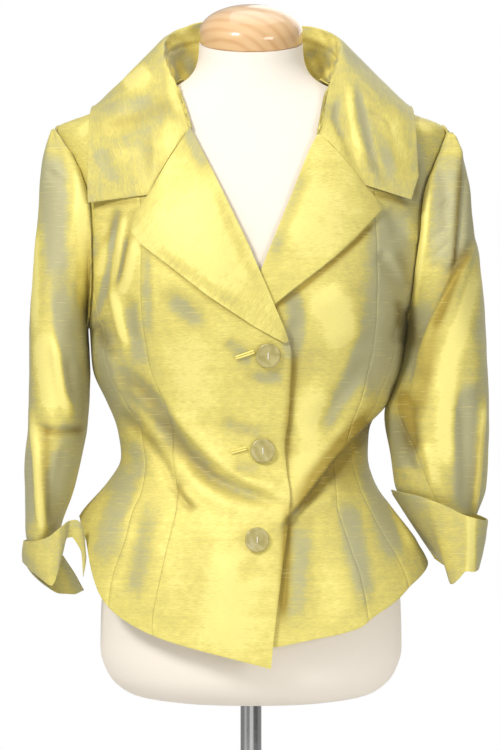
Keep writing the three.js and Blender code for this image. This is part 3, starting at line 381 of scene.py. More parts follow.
def silk():
    # yellow threads crossed by grey-lavender ones; which shows as the cloth turns is painted sheen, light and
    # shade
    look = silkLook
    p = Paint("shot dupioni silk")
    uv = p.add("ShaderNodeUVMap", {"uv_map": "cloth"})
    place = p.place()
    turned = p.add("ShaderNodeAttribute", {"attribute_name": "turned"}, {}, 2)
    deep = p.add("ShaderNodeAttribute", {"attribute_name": "deep"}, {}, 2)
    normal = p.add("ShaderNodeNewGeometry", {}, {}, 1)
    # painted sheen: yellow where the cloth faces one fixed way (front, a little left and up) or away, grey edge
    # on
    facing = p.add("ShaderNodeVectorMath", {"operation": "DOT_PRODUCT"}, {0: normal, 1: look["towards"]}, 1)
    slub = p.ramp(p.noise(p.stretch(uv, (36, 700, 1)), 1.0, 2.0, 0.5), (0.61, 0), (0.70, 1))
    thin = p.noise(p.stretch(uv, (150, 1150, 1)), 1.0, 3.0, 0.65)
    warp = p.noise(p.stretch(uv, (1500, 240, 1)), 1.0, 2.0, 0.6)
    band = p.noise(p.stretch(uv, (9, 250, 1)), 1.0, 2.0, 0.6)
    cloud = p.noise(place, 17.0, 3.0, 0.55)
    small = p.noise(place, 85.0, 3.0, 0.6)
    cast = look["edgeOn"] - facing.math("ABSOLUTE", facing)
    cast = (cast * look["facing"] + turned * look["turned"] + (cloud - 0.5) * look["cloud"]
            + (small - 0.5) * look["small"] + (thin - 0.5) * look["thin"] + (band - 0.5) * look["band"]
            + look["base"])
    tone = p.colours(cast, (0.0, look["bright"]), (0.26, look["yellow"]), (0.55, look["olive"]),
                     (0.74, look["grey"]), (1.0, look["lavender"]))
    # painted shade: the second map darkens the colour towards the shadow colour
    tone = p.blend(deep.held() * 0.9, tone, look["shadow"], "MULTIPLY")
    tone = p.blend((thin - 0.42) * 0.45, tone, look["thinThread"])
    tone = p.blend(slub * 0.32, tone, look["slubThread"])
    tone = p.blend((warp - 0.5) * 0.30, tone, look["crossThread"])
    weave = thin * 0.45 + warp * 0.40 + slub * 0.50
    return p.finish({
        "Base Color": tone,
        "Metallic": look["metal"],
        "Roughness": (thin - 0.5) * 0.14 + look["rough"],
        "Specular IOR Level": 0.25,
        "Sheen Weight": 0.12,
        "Sheen Roughness": 0.4,
        "Sheen Tint": (0.82, 0.78, 0.66, 1),
    }, (weave, 0.40, 0.00035))


def jersey():
    p = Paint("cream jersey")
    place = p.place()
    wale = p.noise(p.stretch(place, (2600, 2600, 500)), 1.0, 1.0)
    patch = p.noise(place, 9.0, 2.0)
    tone = p.blend(patch, (0.955, 0.875, 0.76, 1), (0.965, 0.89, 0.79, 1))
    tone = p.blend((wale - 0.4) * 0.25, tone, (0.86, 0.76, 0.62, 1))
    return p.finish({
        "Base Color": tone,
        "Roughness": wale * 0.1 + 0.82,
        "Sheen Weight": 0.10,
        "Sheen Roughness": 0.5,
        "Sheen Tint": (1.0, 0.93, 0.82, 1),
        "Specular IOR Level": 0.15,
    }, (wale, 0.25, 0.0003))


def honeyWood():
    p = Paint("honey wood")
    place = p.place()
    patch = p.noise(place, 22.0, 2.0)
    fromHeart = p.add("ShaderNodeMapping", {}, {"Vector": place, "Location": (0.035, 0, -0.845)})
    grain = p.add("ShaderNodeTexWave", {"wave_type": "RINGS", "rings_direction": "Y"}, {
        "Vector": fromHeart, "Scale": 30.0, "Distortion": 3.2, "Detail": 2.0, "Detail Scale": 0.6,
        "Detail Roughness": 0.45})
    fine = p.noise(p.stretch(place, (900, 500, 90)), 1.0, 2.0)
    tone = p.blend(grain ** 2.2 * 0.55, (0.84, 0.545, 0.27, 1), (0.66, 0.335, 0.12, 1))
    tone = p.blend((patch - 0.38) * 0.8, tone, (0.88, 0.63, 0.36, 1))
    tone = p.blend((fine - 0.45) * 0.3, tone, (0.58, 0.31, 0.12, 1))
    return p.finish({
        "Base Color": tone,
        "Roughness": fine * 0.08 + 0.28,
        "Coat Weight": 0.9,
        "Coat Roughness": 0.07,
    }, (grain, 0.04, 0.0004))


def chrome():
    p = Paint("polished chrome")
    place = p.place()
    rub = p.noise(p.stretch(place, (260, 260, 1200)), 1.0, 2.0)
    tone = p.blend(rub, (0.70, 0.71, 0.72, 1), (0.80, 0.80, 0.81, 1))
    return p.finish({"Base Color": tone, "Metallic": 1.0, "Roughness": rub * 0.06 + 0.07}, (rub, 0.02, 0.0002))


def pearlShell():
    p = Paint("khaki shell")
    place = p.place()
    wave = p.add("ShaderNodeTexWave", {"wave_type": "BANDS", "bands_direction": "DIAGONAL"},
                 {"Vector": place, "Scale": 42.0, "Distortion": 9.0, "Detail": 3.0, "Detail Scale": 1.6})
    cloud = p.noise(place, 120.0, 3.0)
    tone = p.blend(cloud, (0.33, 0.27, 0.075, 1), (0.53, 0.45, 0.16, 1))
    tone = p.blend(wave * 0.45, tone, (0.64, 0.57, 0.27, 1))
    return p.finish({
        "Base Color": tone,
        "Roughness": cloud * 0.15 + 0.24,
        "Coat Weight": 0.22,
        "Coat Roughness": 0.14,
    }, (wave, 0.08, 0.0003))


def stitchThread():
    p = Paint("cream thread")
    place = p.place()
    ply = p.add("ShaderNodeTexWave", {"bands_direction": "DIAGONAL"},
                {"Vector": place, "Scale": 420.0, "Distortion": 1.0})
    tone = p.blend(ply, (0.86, 0.81, 0.62, 1), (0.95, 0.92, 0.78, 1))
    return p.finish({"Base Color": tone, "Roughness": 0.65}, (ply, 0.3, 0.0003))


silkCloth = silk()
print("materials made")

# The body's tables: half widths and depths by height, the hem by the turn in degrees, and the lines in X
# that the panels are cut along.
jacketRows = {
    "z": [240, 262, 324, 362, 390, 412, 435, 448, 469, 500, 531, 562, 603, 640, 685, 740, 775, 796, 816, 828,
          840, 852, 864, 874],
    "right": [208, 207, 203, 196, 188, 178.5, 158, 147.5, 136, 140, 152.5, 166, 169.2, 173, 184, 192, 200,
              205, 208, 175, 141.5, 107, 78, 66],
    "left": [206, 205, 196, 185.5, 168, 151, 134.5, 128, 122.5, 124, 143, 156.5, 163.5, 171, 185, 192, 200,
             205, 207, 175, 141.5, 107, 78, 66],
    "front": [134, 133, 129, 125, 120, 114, 108, 104, 101, 103, 107, 113, 120, 123, 120, 111, 99, 91, 81, 75,
              69, 64, 61, 60],
    "back": [128, 126, 119, 113, 106, 98, 89, 84, 79, 81, 87, 94, 102, 107, 109, 108, 105, 101, 96, 91, 84,
             75, 66, 61],
    "taper": [0.95, 0.95, 0.95, 0.94, 0.93, 0.92, 0.9, 0.9, 0.9, 0.9, 0.88, 0.86, 0.86, 0.88, 0.92, 1, 1.1,
              1.2, 1.3, 1.35, 1.35, 1.3, 1.1, 1],
}
hemRows = {
    -1: {"turn": [-180, -120, -84, -66, -48, -40, -27, -6, 8],
         "z": [396, 404, 408, 390, 326, 309, 291, 272, 259]},
    1: {"turn": [-9, 7, 15, 33, 39, 50, 60, 86, 120, 180],
        "z": [280, 283, 288, 300, 311, 327, 342, 362, 385, 396]},
}
edgeRows = {  # the front edges, then the lines that the lapels roll over
    "z": [240, 262, 369, 409, 430, 465, 488, 512, 582, 590, 628, 672, 738, 793, 813, 830, 853, 866],
    "right": [19, 20, 32, 37, 37, 34, 33, 37, 40, 38, 23, 4, -27, -54, -64, -72, -78, -79],
    "left": [-13, -13, -13, -13, -13, -13, -13, -13, -15, -15, -2, 14, 40.5, 63, 75, 80, 83, 79],
}
princessRows = {
    "z": [240, 303, 350, 378, 430, 460, 504, 531, 564, 624, 682, 740, 796, 842],
    "right": [100, 100, 92, 86, 75, 79, 83, 91, 102, 108, 109, 113, 123, 135],
    "left": [125, 120, 111, 102, 88, 88, 98, 110, 121, 125, 127, 126, 127, 135],
}
sideRows = {  # the turns, in degrees, of the seams beside the underarm panels
    "z": [240, 346, 391, 430, 470, 530, 590],
    "right": [46, 45.5, 43, 45, 53, 59, 65],
    "left": [58, 57, 55, 58, 60, 63, 69],
    "back": [122, 121, 120, 118, 116, 113, 110],
}
fit = {
    "lapLift": 5, "lapStarts": -78, "lapFull": -20, "lapSink": 1.2, "lapSinkStarts": 45, "lapSinkRun": 40,
    "armholeMiddle": 712, "armholeHalf": 104, "armholeSteps": 20, "armholeLean": 0.15, "sideSeamStep": 7,
    "openRight": 28, "openLeft": 19, "openBack": 24,
    "bustX": 80, "bustZ": 642, "bustWide": 58, "bustHigh": 66, "bustHeight": 9,
    "halfWidth": 190, "halfDepth": 110, "sideFade": 30, "crumple": 0.55, "crumpleSize": 46, "perDegree": 2.2,
    "setBack": 1.6, "setBackFrom": 620, "setBackRun": 60, "ridgeCast": 0.05, "troughDeep": 0.04,
}
bodyGrid = {
    "hemGuess": 320.0, "hemRounds": 12, "lowRows": 150, "rowHeight": 2.0, "underarmRows": 140, "turnsFrom": 560,
    "shoulder": 840, "centreTop": 863, "sideTop": 839, "backTop": 868,
    "centreColumns": {-1: 52, 1: 48}, "sideColumns": 26, "backColumns": 56, "underarmColumns": 30,
}
frontCreases = [
    (7, 7, -3, (-156, 693), (-146, 709), (-136, 727)),
    (6, 5, -3.5, (-131, 728), (-138, 693), (-141, 669), (-149, 640), (-157, 618)),
    (3.5, 3.5, 2.4, (-131, 719), (-135, 688), (-138, 656)),
    (5, 5, -3, (-121, 730), (-127, 693), (-134, 667), (-137, 644)),
    (7, 7, 2.5, (-116, 697), (-124, 671), (-134, 648), (-139, 634)),
    (4, 5, 3, (-143, 648), (-138, 633), (-134, 612), (-129, 587)),
    (8, 7, -2.6, (-126, 640), (-122, 614), (-119, 587)),
    (13, 12, -2.4, (-86, 640), (-70, 624), (-52, 606)),
    (8, 12, -5, (-149, 563), (-124, 554), (-99, 529), (-83, 500), (-59, 471), (-32, 447), (1, 433), (37, 422)),
    (12, 6, 4.6, (-87, 527), (-67, 504), (-42, 478), (-15, 456), (39, 427)),
    (6, 12, 3, (-75, 472), (-52, 446), (-15, 427), (39, 414)),
    (6, 6, 3, (-126, 546), (-106, 525), (-84, 505)),
    (6, 6, -3.5, (-135, 519), (-118, 499), (-102, 482), (-88, 462), (-77, 438)),
    (5, 6, 2, (-120, 526), (-102, 503), (-87, 483)),
    (4, 4, -2.6, (-80, 444), (-70, 430), (-58, 419)),
    (4, 4, 1.6, (-72, 444), (-62, 432), (-53, 424)),
    (9, 9, -2.2, (-26, 592), (-14, 576), (1, 565)),
    (9, 10, -2.4, (-11, 559), (11, 553), (35, 560)),
    (10, 9, -2.2, (-31, 511), (-15, 503), (1, 494)),
    (8, 8, -1.6, (-17, 462), (5, 456)),
    (8, 8, 2, (-5, 446), (11, 450), (29, 443)),
    (24, 24, 1.6, (-29, 607), (-46, 561), (-46, 506)),
    (14, 14, -1.8, (-46, 394), (-53, 339), (-58, 288)),
    (16, 16, 1.8, (-21, 384), (-24, 329), (-26, 278)),
    (10, 10, -2, (-110, 415), (-119, 369), (-126, 329)),
    (14, 9, -5, (-163, 610), (-156, 597), (-149, 584)),
    (6, 6, 1.6, (-145, 582), (-141, 559), (-135, 535)),
    (10, 10, -1.6, (-29, 377), (-11, 373), (11, 363)),
    (8, 8, -3.2, (46, 634), (48, 614), (40, 596), (37, 580)),
    (20, 22, 4, (72, 644), (95, 614), (102, 586)),
    (16, 18, 3.2, (48, 478), (60, 513), (85, 543)),
    (12, 10, -2.6, (68, 506), (81, 523), (102, 549), (122, 580)),
    (26, 5, 8.5, (27, 406), (50, 432), (77, 467), (108, 502), (139, 529), (151, 539)),
    (3.5, 16, -5, (25, 391), (52, 424), (75, 453), (101, 483), (130, 509), (147, 521)),
    (5, 4, 2.4, (52, 416), (68, 427), (88, 434)),
    (5, 7, -1.8, (56, 406), (72, 415), (92, 422)),
    (3, 3, 1.5, (72, 464), (78, 452), (81, 440)),
    (7, 7, 4, (136, 437), (155, 408), (175, 373)),
    (7, 7, -3, (149, 444), (167, 410)),
    (8, 8, -2.2, (140, 728), (147, 711), (151, 695)),
    (6, 6, 3, (161, 721), (164, 707), (167, 691)),
    (4, 9, -3, (129, 684), (145, 660), (160, 638)),
    (7, 7, 2.4, (137, 683), (151, 665), (163, 648)),
    (8, 8, -1.8, (122, 563), (127, 541), (125, 523)),
    (12, 12, -1.8, (62, 391), (68, 349), (72, 303)),
    (12, 12, 1.8, (100, 373), (106, 344), (110, 317)),
    (9, 9, -1.6, (50, 582), (56, 559), (52, 539)),
    (10, 14, -5, (149, 587), (157, 610), (164, 629)),
    (9, 9, 1.6, (135, 632), (133, 602), (128, 573)),
]
# Shade tables are laid out like crease tables. In a turned one, 1 shows the grey-lavender threads and -1
# the bright yellow ones, as painted sheen, light and shade; in a deep one, 1 is painted shadow, in a hollow or
# under an edge.
frontTurned = [
    (18, 18, 0.5, (-149, 602), (-135, 546), (-122, 501)),
    (8, 8, 0.5, (-156, 602), (-150, 556), (-141, 521)),
    (16, 16, 0.8, (-124, 468), (-141, 410), (-149, 359)),
    (12, 12, 0.55, (-100, 432), (-112, 369), (-122, 324)),
    (5, 7, 0.6, (-106, 698), (-104, 632), (-103, 587)),
    (9, 9, 0.5, (-122, 491), (-110, 450)),
    (22, 22, -0.4, (-74, 602), (-62, 556), (-47, 511)),
    (30, 30, -0.5, (-15, 389), (-23, 329), (-29, 273)),
    (7, 9, -0.5, (-80, 482), (-47, 446), (-11, 428), (34, 416)),
    (8, 8, 0.5, (-27, 594), (-13, 582), (-3, 565)),
    (7, 7, 0.5, (1, 555), (33, 551)),
    (10, 10, 0.45, (-33, 511), (-11, 501), (15, 498)),
    (8, 8, 0.5, (-19, 466), (11, 459)),
    (10, 10, 0.4, (-15, 354), (11, 369)),
    (8, 12, 0.8, (39, 650), (49, 607), (39, 569)),
    (22, 24, 0.95, (147, 737), (143, 683), (139, 622), (135, 580), (124, 537)),
    (9, 10, 0.75, (118, 602), (104, 555), (86, 521), (68, 491)),
    (17, 17, -0.9, (66, 644), (88, 612), (96, 580)),
    (14, 14, -0.7, (76, 543), (56, 501), (47, 452)),
    (7, 7, 0.6, (38, 507), (47, 491), (41, 468)),
    (11, 11, 0.6, (52, 410), (48, 349), (42, 296)),
    (12, 12, 0.9, (96, 434), (108, 369), (116, 321)),
    (13, 13, 0.8, (120, 468), (137, 410), (151, 363)),
    (5, 5, -0.7, (141, 434), (154, 402), (165, 377)),
    (13, 13, -0.3, (76, 369), (80, 303)),
    (15, 15, 0.95, (155, 806), (167, 769), (171, 728)),
    (5, 5, -0.9, (155, 821), (193, 810)),
    (5, 5, -0.6, (-179, 806), (-161, 822)),
    (4, 4, 1.1, (-136, 727), (-143, 688), (-150, 648), (-161, 614)),
    (3.5, 3.5, -1.1, (-130, 719), (-136, 683), (-141, 648)),
    (3.5, 3.5, 0.9, (-126, 701), (-130, 671), (-138, 644)),
    (5, 5, -1, (-119, 707), (-124, 671), (-131, 638)),
    (4, 4, -0.9, (-141, 642), (-134, 610), (-125, 582)),
    (9, 9, 0.75, (-124, 632), (-118, 594), (-110, 565)),
    (6, 6, 0.5, (-153, 721), (-159, 701), (-161, 671)),
    (10, 10, 0.5, (-84, 636), (-66, 620), (-48, 602)),
    (10, 14, 0.5, (-133, 557), (-100, 529), (-83, 500), (-59, 469), (-32, 446), (1, 432), (35, 422)),
    (10, 10, -0.6, (-153, 717), (-157, 697)),
    (7, 7, -0.6, (-149, 687), (-155, 656)),
]
# Painted shadow on the fronts: below the overhanging fold, beside the front edge and in hollows.
frontDeep = [
    (7, 6, 0.7, (130, 527), (98, 497), (72, 468), (50, 440)),
    (5, 12, 1.3, (130, 509), (104, 484), (86, 460), (66, 440), (39, 414)),
    (14, 14, 0.5, (116, 495), (102, 464), (96, 434)),
    (6, 6, 0.5, (118, 511), (114, 495), (116, 480)),
    (5, 5, 1.4, (38, 422), (36, 389), (34, 349), (31, 306)),
    (4, 5, 1, (45, 592), (42, 541), (38, 501), (37, 460)),
    (5, 5, 0.8, (149, 636), (153, 620), (152, 602)),
    (6, 12, 0.55, (-141, 559), (-112, 541), (-92, 517), (-72, 487), (-47, 460), (-16, 442)),
    (6, 6, 0.5, (-157, 607), (-149, 587), (-137, 576)),
    (9, 9, 0.35, (-135, 523), (-112, 499), (-96, 475)),
    (6, 6, 0.4, (-76, 450), (-64, 430), (-56, 416)),
    (4, 4, 0.5, (-121, 711), (-128, 675), (-135, 644)),
    (5, 5, 0.4, (-136, 725), (-143, 705), (-153, 687)),
    (6, 6, 0.35, (31, 612), (11, 618), (-5, 614)),
    (6, 6, 0.4, (149, 685), (159, 663), (163, 642)),
    (7, 7, 0.35, (80, 721), (102, 707), (128, 701)),
    # painted shadows cast under the lower edges of the lapels and the collar
    (3.6, 3.6, 0.75, (10, 613), (50, 643), (82, 669), (110, 694), (130, 716)),
    (2.4, 2.4, 0.45, (0, 605), (-42, 632), (-80, 663), (-110, 685)),
    (2.0, 2.0, 0.6, (8, 612), (50, 644), (82, 670), (110, 695), (132, 718)),
    (2.6, 2.6, 0.6, (-164, 729), (-136, 732), (-108, 735)),
    (3.2, 3.2, 0.85, (118, 743), (140, 738), (166, 731)),
    (3.6, 3.6, 0.7, (168, 734), (171, 756), (172, 780)),
]
# painted sheen, light and shade on the back
backTurned = [
    (30, 18, 0.7, (-128, 720), (-92, 610), (-112, 510)), (16, 26, -0.6, (-30, 740), (-56, 620), (-34, 520)),
    (20, 28, 0.6, (24, 770), (52, 670), (30, 560)), (30, 16, -0.6, (112, 730), (88, 620), (116, 530)),
    (20, 20, 0.7, (-96, 470), (-92, 420), (-104, 380)), (22, 22, -0.6, (-34, 490), (-30, 430), (-36, 390)),
    (20, 20, 0.6, (30, 480), (40, 430), (38, 392)), (18, 18, -0.5, (104, 470), (112, 420), (120, 380)),
]
backCreases = [
    (14, 9, 5.0, (-120, 520), (-84, 478), (-40, 440)),
    (9, 12, -3.0, (-126, 496), (-90, 456), (-52, 424)),
    (16, 8, 6.0, (30, 446), (70, 474), (118, 512)),
    (8, 12, -3.4, (34, 428), (74, 452), (120, 488)),
    (11, 11, -3.6, (140, 640), (118, 600), (96, 560)),
    (10, 10, -3.6, (-138, 650), (-120, 606), (-104, 570)),
    (7, 7, -2.6, (-150, 740), (-140, 690), (-142, 640)),
    (7, 7, 2.4, (-136, 720), (-128, 676), (-132, 630)),
    (7, 7, -2.6, (152, 736), (142, 690), (146, 642)),
    (18, 18, 2.4, (-70, 790), (-76, 740), (-66, 690)),
    (18, 18, 2.4, (72, 786), (80, 736), (70, 690)),
    (12, 12, -2.0, (-50, 560), (-10, 540), (44, 548)),
    (9, 9, 2.0, (-60, 530), (-14, 514), (50, 524)),
    (14, 14, -2.2, (-92, 400), (-100, 430), (-84, 452)),
    (14, 14, 2.2, (60, 396), (64, 420), (54, 446)),
    (16, 16, -1.8, (8, 640), (4, 600), (12, 560)),
]
jacket = curveThrough(jacketRows, "z", 5)
hems = {side: curveThrough(rows, "turn") for side, rows in hemRows.items()}
edges = curveThrough(edgeRows, "z", 3)
princess = curveThrough(princessRows, "z", 4)


def sectionPoint(s, turn, z):
    sine, cosine = np.sin(np.radians(turn)), np.cos(np.radians(turn))
    x = np.where(sine < 0, s["right"], s["left"]) * sine
    y = -np.sign(cosine) * np.where(cosine > 0, s["front"], s["back"]) * np.abs(cosine) ** s["taper"]
    return np.stack(np.broadcast_arrays(x, y, z), axis=-1).astype(float)


def bust(x, z):
    off = ((np.abs(x) - fit["bustX"]) / fit["bustWide"]) ** 2 + ((z - fit["bustZ"]) / fit["bustHigh"]) ** 2
    return fit["bustHeight"] * np.exp(-off)


def outwardOf(point):
    x, y = point[..., 0], point[..., 1]
    return unit(np.stack([x / fit["halfWidth"], y / fit["halfDepth"], 0 * x], axis=-1))


def creasesOf(x, z, front):
    return np.where(front, creaseLift(frontCreases, x, z), creaseLift(backCreases, x, z))


def bodyPoint(turn, z, creased=True):
    turn, z = np.broadcast_arrays(np.asarray(turn, float), np.asarray(z, float))
    point = sectionPoint(jacket(z), turn, z)
    x, front = point[..., 0], point[..., 1] < 0
    lift = np.where(front, bust(x, z), 0)
    if creased:
        lift = lift + creasesOf(x, z, front)
        lift = lift + fit["crumple"] * crumple(turn * fit["perDegree"], z, fit["crumpleSize"], 3)
    return point + outwardOf(point) * (lift * ease(np.abs(point[..., 1]) / fit["sideFade"]))[..., None]


def bodyNormal(turn, z):
    across = bodyPoint(turn + 0.4, z, False) - bodyPoint(turn - 0.4, z, False)
    up = bodyPoint(turn, z + 1, False) - bodyPoint(turn, z - 1, False)
    return unit(np.cross(across, up))


def degreesOf(sine):
    return np.degrees(np.arcsin(np.clip(sine, -1, 1)))


def frontTurnAt(x, z):
    s = jacket(z)
    return degreesOf(x / np.where(np.asarray(x) < 0, s["right"], s["left"]))


def frontPoint(x, z, lift):
    turn = frontTurnAt(x, z)
    return bodyPoint(turn, z) + bodyNormal(turn, z) * np.asarray(lift, float)[..., None]


def overLap(x):
    return fit["lapLift"] * ease((x - fit["lapStarts"]) / (fit["lapFull"] - fit["lapStarts"]))


def underLap(x):
    return -fit["lapSink"] * ease((fit["lapSinkStarts"] - x) / fit["lapSinkRun"])


def armhole(side, step):
    turn = np.asarray(step, float) / fit["armholeSteps"] * 2 * np.pi
    front = fit["openRight"] if side < 0 else fit["openLeft"]
    wide = np.where(np.sin(turn) < 0, fit["openBack"], front)
    opened = wide * np.sin(turn) * (1 + fit["armholeLean"] * np.cos(turn))
    return side * (90 - opened), fit["armholeMiddle"] + fit["armholeHalf"] * np.cos(turn)


def armholeTurn(side, z, back):
    cosine = np.clip((z - fit["armholeMiddle"]) / fit["armholeHalf"], -1, 1)
    step = np.arccos(cosine) / (2 * np.pi) * fit["armholeSteps"]
    return armhole(side, fit["armholeSteps"] - step if back else step)[0]


armholeFoot = float(armhole(1, fit["sideSeamStep"])[1])
armholeTop = float(armhole(1, 0)[1])
sideSeams = {}
for side, name in sideNames.items():
    sideSeams[side] = curveThrough({
        "z": sideRows["z"] + [armholeFoot],
        "front": sideRows[name] + [abs(float(armholeTurn(side, armholeFoot, False)))],
        "back": sideRows["back"] + [abs(float(armholeTurn(side, armholeFoot, True)))],
    }, "z")


def outerTurn(side, z, back):
    z = np.asarray(z, float)
    low = side * sideSeams[side](z)["back" if back else "front"]
    return np.where(z < armholeFoot, low, np.where(z < armholeTop, armholeTurn(side, z, back), side * 90.0))


def princessTurn(side, z):
    return frontTurnAt(side * princess(z)[sideNames[side]], z)


def frontTurn(side, z):
    # under the lapel and the collar the edge stands back from the roll line
    back = side * fit["setBack"] * ease((z - fit["setBackFrom"]) / fit["setBackRun"])
    return frontTurnAt(edges(z)[sideNames[side]] + back, z)


def hemHeight(side, turnOf, u):
    z = np.full(np.shape(u), bodyGrid["hemGuess"])
    for _ in range(bodyGrid["hemRounds"]):
        z = hems[side](turnOf(z, u))["z"]
    return z


def bodyCast(point):
    # which threads show on the body, as painted sheen, light and shade, and where it is in painted shadow
    x, z, front = point[..., 0], point[..., 2], point[..., 1] < 0
    lift = creasesOf(x, z, front)
    # painted light and shade on the creases: ridges lighter, troughs greyer and darker
    turned = np.where(front, shade(frontTurned, x, z), shade(backTurned, x, z)) - fit["ridgeCast"] * lift
    return turned, np.where(front, creaseLift(frontDeep, x, z), 0) - fit["troughDeep"] * np.minimum(lift, 0)


def sewPanel(name, turn, z, seed, seams=(True, True), lift=None):
    point, normal = bodyPoint(turn, z), bodyNormal(turn, z)
    if lift:
        point = point + normal * lift(point[..., 0])[..., None]
    cast = bodyCast(point)
    point = point + normal * seamDip(point, seams, seed)[..., None]
    clothPiece(name, drawIn(point), normal, cast)


def bodyPanel(name, side, columns, start, end, top, seed, **rest):
    # rows rise from the hem to the foot of the armhole, then stand level up to the top
    u = np.linspace(0, 1, columns + 1)
    turnOf = lambda z, u: mix(start(z), end(z), u)
    hem = hemHeight(side, turnOf, u)
    high = int(round((top - armholeFoot) / bodyGrid["rowHeight"]))
    t = np.linspace(0, 1, bodyGrid["lowRows"] + 1)[:, None]
    z = np.concatenate([mix(hem[None, :], armholeFoot, t),
                        np.linspace(armholeFoot, top, high + 1)[1:, None] + 0 * u[None, :]])
    sewPanel(name, turnOf(z, u[None, :] + 0 * z), z, seed, **rest)


def underarmPanel(name, side, columns, seed):
    u = np.linspace(0, 1, columns + 1)
    foot = fit["sideSeamStep"]
    endTurn, endZ = armhole(side, foot + u * (fit["armholeSteps"] - 2 * foot))

    def turnOf(z, u):
        s = sideSeams[side](np.minimum(z, armholeFoot))
        return side * mix(s["front"], s["back"], u)

    hem = hemHeight(side, turnOf, u)
    t = np.linspace(0, 1, bodyGrid["underarmRows"])[:, None]
    z = mix(hem[None, :], endZ[None, :], t)
    toEnd = ease((z - bodyGrid["turnsFrom"]) / (endZ[None, :] - bodyGrid["turnsFrom"]))
    level = turnOf(z, u[None, :] + 0 * z)
    turn = mix(level, endTurn[None, :], toEnd)
    turn -= mix((turn - level)[:, :1], (turn - level)[:, -1:], u[None, :])  # the side seams stay closed
    sewPanel(name, turn, z, seed)


for side, name in sideNames.items():
    bodyPanel("front_centre_" + name, side, bodyGrid["centreColumns"][side],
              lambda z, s=side: frontTurn(s, z),
              lambda z, s=side: np.where(z < bodyGrid["shoulder"], princessTurn(s, z), s * 90.0),
              bodyGrid["centreTop"], 1 + side, seams=(False, True), lift=overLap if side < 0 else underLap)
    bodyPanel("front_side_" + name, side, bodyGrid["sideColumns"],
              lambda z, s=side: princessTurn(s, z),
              lambda z, s=side: outerTurn(s, z, False), bodyGrid["sideTop"], 5 + side)
    bodyPanel("back_" + name, side, bodyGrid["backColumns"],
              lambda z, s=side: outerTurn(s, z, True),
              lambda z, s=side: s * 180.0 + 0 * z, bodyGrid["backTop"], 9 + side)
    underarmPanel("underarm_" + name, side, bodyGrid["underarmColumns"], 13 + side)
print("body panels made")

# Lapels: where each row leaves the roll line, and where it ends.
lapelRows = {
    -1: {"at": list(range(8)), "rollZ": [592, 625, 660, 700, 735, 755, 782, 808],
         "x": [33, -1, -42, -80, -109, -125.6, -114, -102.3],
         "z": [590, 608.6, 636, 667, 689, 708, 723.5, 738.7]},
    1: {"at": list(range(8)), "rollZ": [596, 625, 660, 695, 730, 758, 780, 802],
        "x": [-10, 14, 50, 80, 108, 133, 124, 114.7], "z": [598, 620, 650, 674.5, 700, 726, 738, 749]},
}
laid = {
    "gap": 0.8, "arch": 4.5, "archFrom": 620, "archRun": 130, "tuckFrom": 668, "tuckRun": 40, "edgeLift": 0.8,
    "rows": 110, "columns": 40, "crumple": 0.35, "crumpleSize": 30, "rise": 0.35, "uvTurn": -24,
}


def lapelPoint(side, rollX, rollZ, x, z, u):
    px, pz = mix(rollX, x, u), mix(rollZ, z, u)
    arch = laid["arch"] * np.sin(np.pi * u) * ease((rollZ - laid["archFrom"]) / laid["archRun"])
    tuck = ease((pz - laid["tuckFrom"]) / laid["tuckRun"]) if side > 0 else 1.0
    over = overLap(px) if side < 0 else 0.0
    return frontPoint(px, pz, over + laid["gap"] + cloth["wall"] + arch * tuck + laid["edgeLift"] * u * tuck)


def lapelGrid(side):
    table = lapelRows[side]
    at = np.linspace(0, table["at"][-1], laid["rows"] + 1)[:, None]
    at, u = np.broadcast_arrays(at, np.linspace(0, 1, laid["columns"] + 1)[None, :])
    rollZ, x, z = (np.interp(at, table["at"], table[key]) for key in ("rollZ", "x", "z"))
    return lapelPoint(side, edges(rollZ)[sideNames[side]], rollZ, x, z, u)


# painted sheen, light and shade on the lapels: -1 bright yellow, 1 grey-lavender
lapelTurned = {
    -1: [
        (60, 60, -0.45, (-92, 733), (-11, 632)),
        (8, 8, 0.7, (-68, 822), (-56, 788), (-45, 761)),
        (6, 6, 0.5, (-100, 689), (-51, 651), (-7, 624)),
        (5, 5, 0.4, (-41, 753), (-11, 683), (11, 636)),
    ],
    1: [
        (50, 50, -0.4, (100, 743), (49, 672)),
        (8, 8, 0.7, (56, 768), (35, 713), (19, 670)),
        (5, 5, 0.5, (124, 707), (76, 666)),
    ],
}
for side, name in sideNames.items():
    point = lapelGrid(side)
    normal = gridNormals(point, np.array([0, -1.0, 0]))
    lift = laid["crumple"] * crumple(point[..., 0], point[..., 2], laid["crumpleSize"], 5 + side) + laid["rise"]
    point = point + normal * lift[..., None]
    cast = shade(lapelTurned[side], point[..., 0], point[..., 2]), 0.0
    clothPiece("lapel_" + name, point, normal, cast, uvTurn=laid["uvTurn"] * side)
print("lapels made")

# The collar, seam to roll to middle to edge, from the centre back (0) to the front ends, as on the
# wearer's right. One row more on each side, the last, lies on the lapel.
collarRows = {
    "at": [0, 1, 2, 3, 4, 5, 6],
    "seamX": [0, -34, -60, -77, -82, -80, -73], "seamY": [63, 56, 38, 12, -10, -28, -45],
    "seamZ": [868, 868, 867, 864.5, 863.6, 859.5, 850],
    "rollX": [0, -46, -76, -92, -90, -84, -76.5], "rollY": [78, 67, 45, 12, -14, -30, -48],
    "rollZ": [937, 937, 929, 911, 890, 873, 853],
    "shift": [0, 0, 0, 2, 2, 3, 4],
    "midX": [0, -68, -110, -132, -128, -123, -112], "midY": [97, 86, 50, 8, -34, -62, -88],
    "midZ": [890, 888, 884, 872, 853, 824, 785],
    "edgeX": [0, -84, -142, -166, -168, -168, -168], "edgeY": [106, 92, 52, 4, -42, -60, -68],
    "edgeZ": [836, 834, 838, 839, 818, 788, 760],
    "round": [1, 1, 1, 1, 1, 0.8, 0.4],
}
collarTips = {-1: (-167.5, -70, 733), 1: (164, -76, 736)}
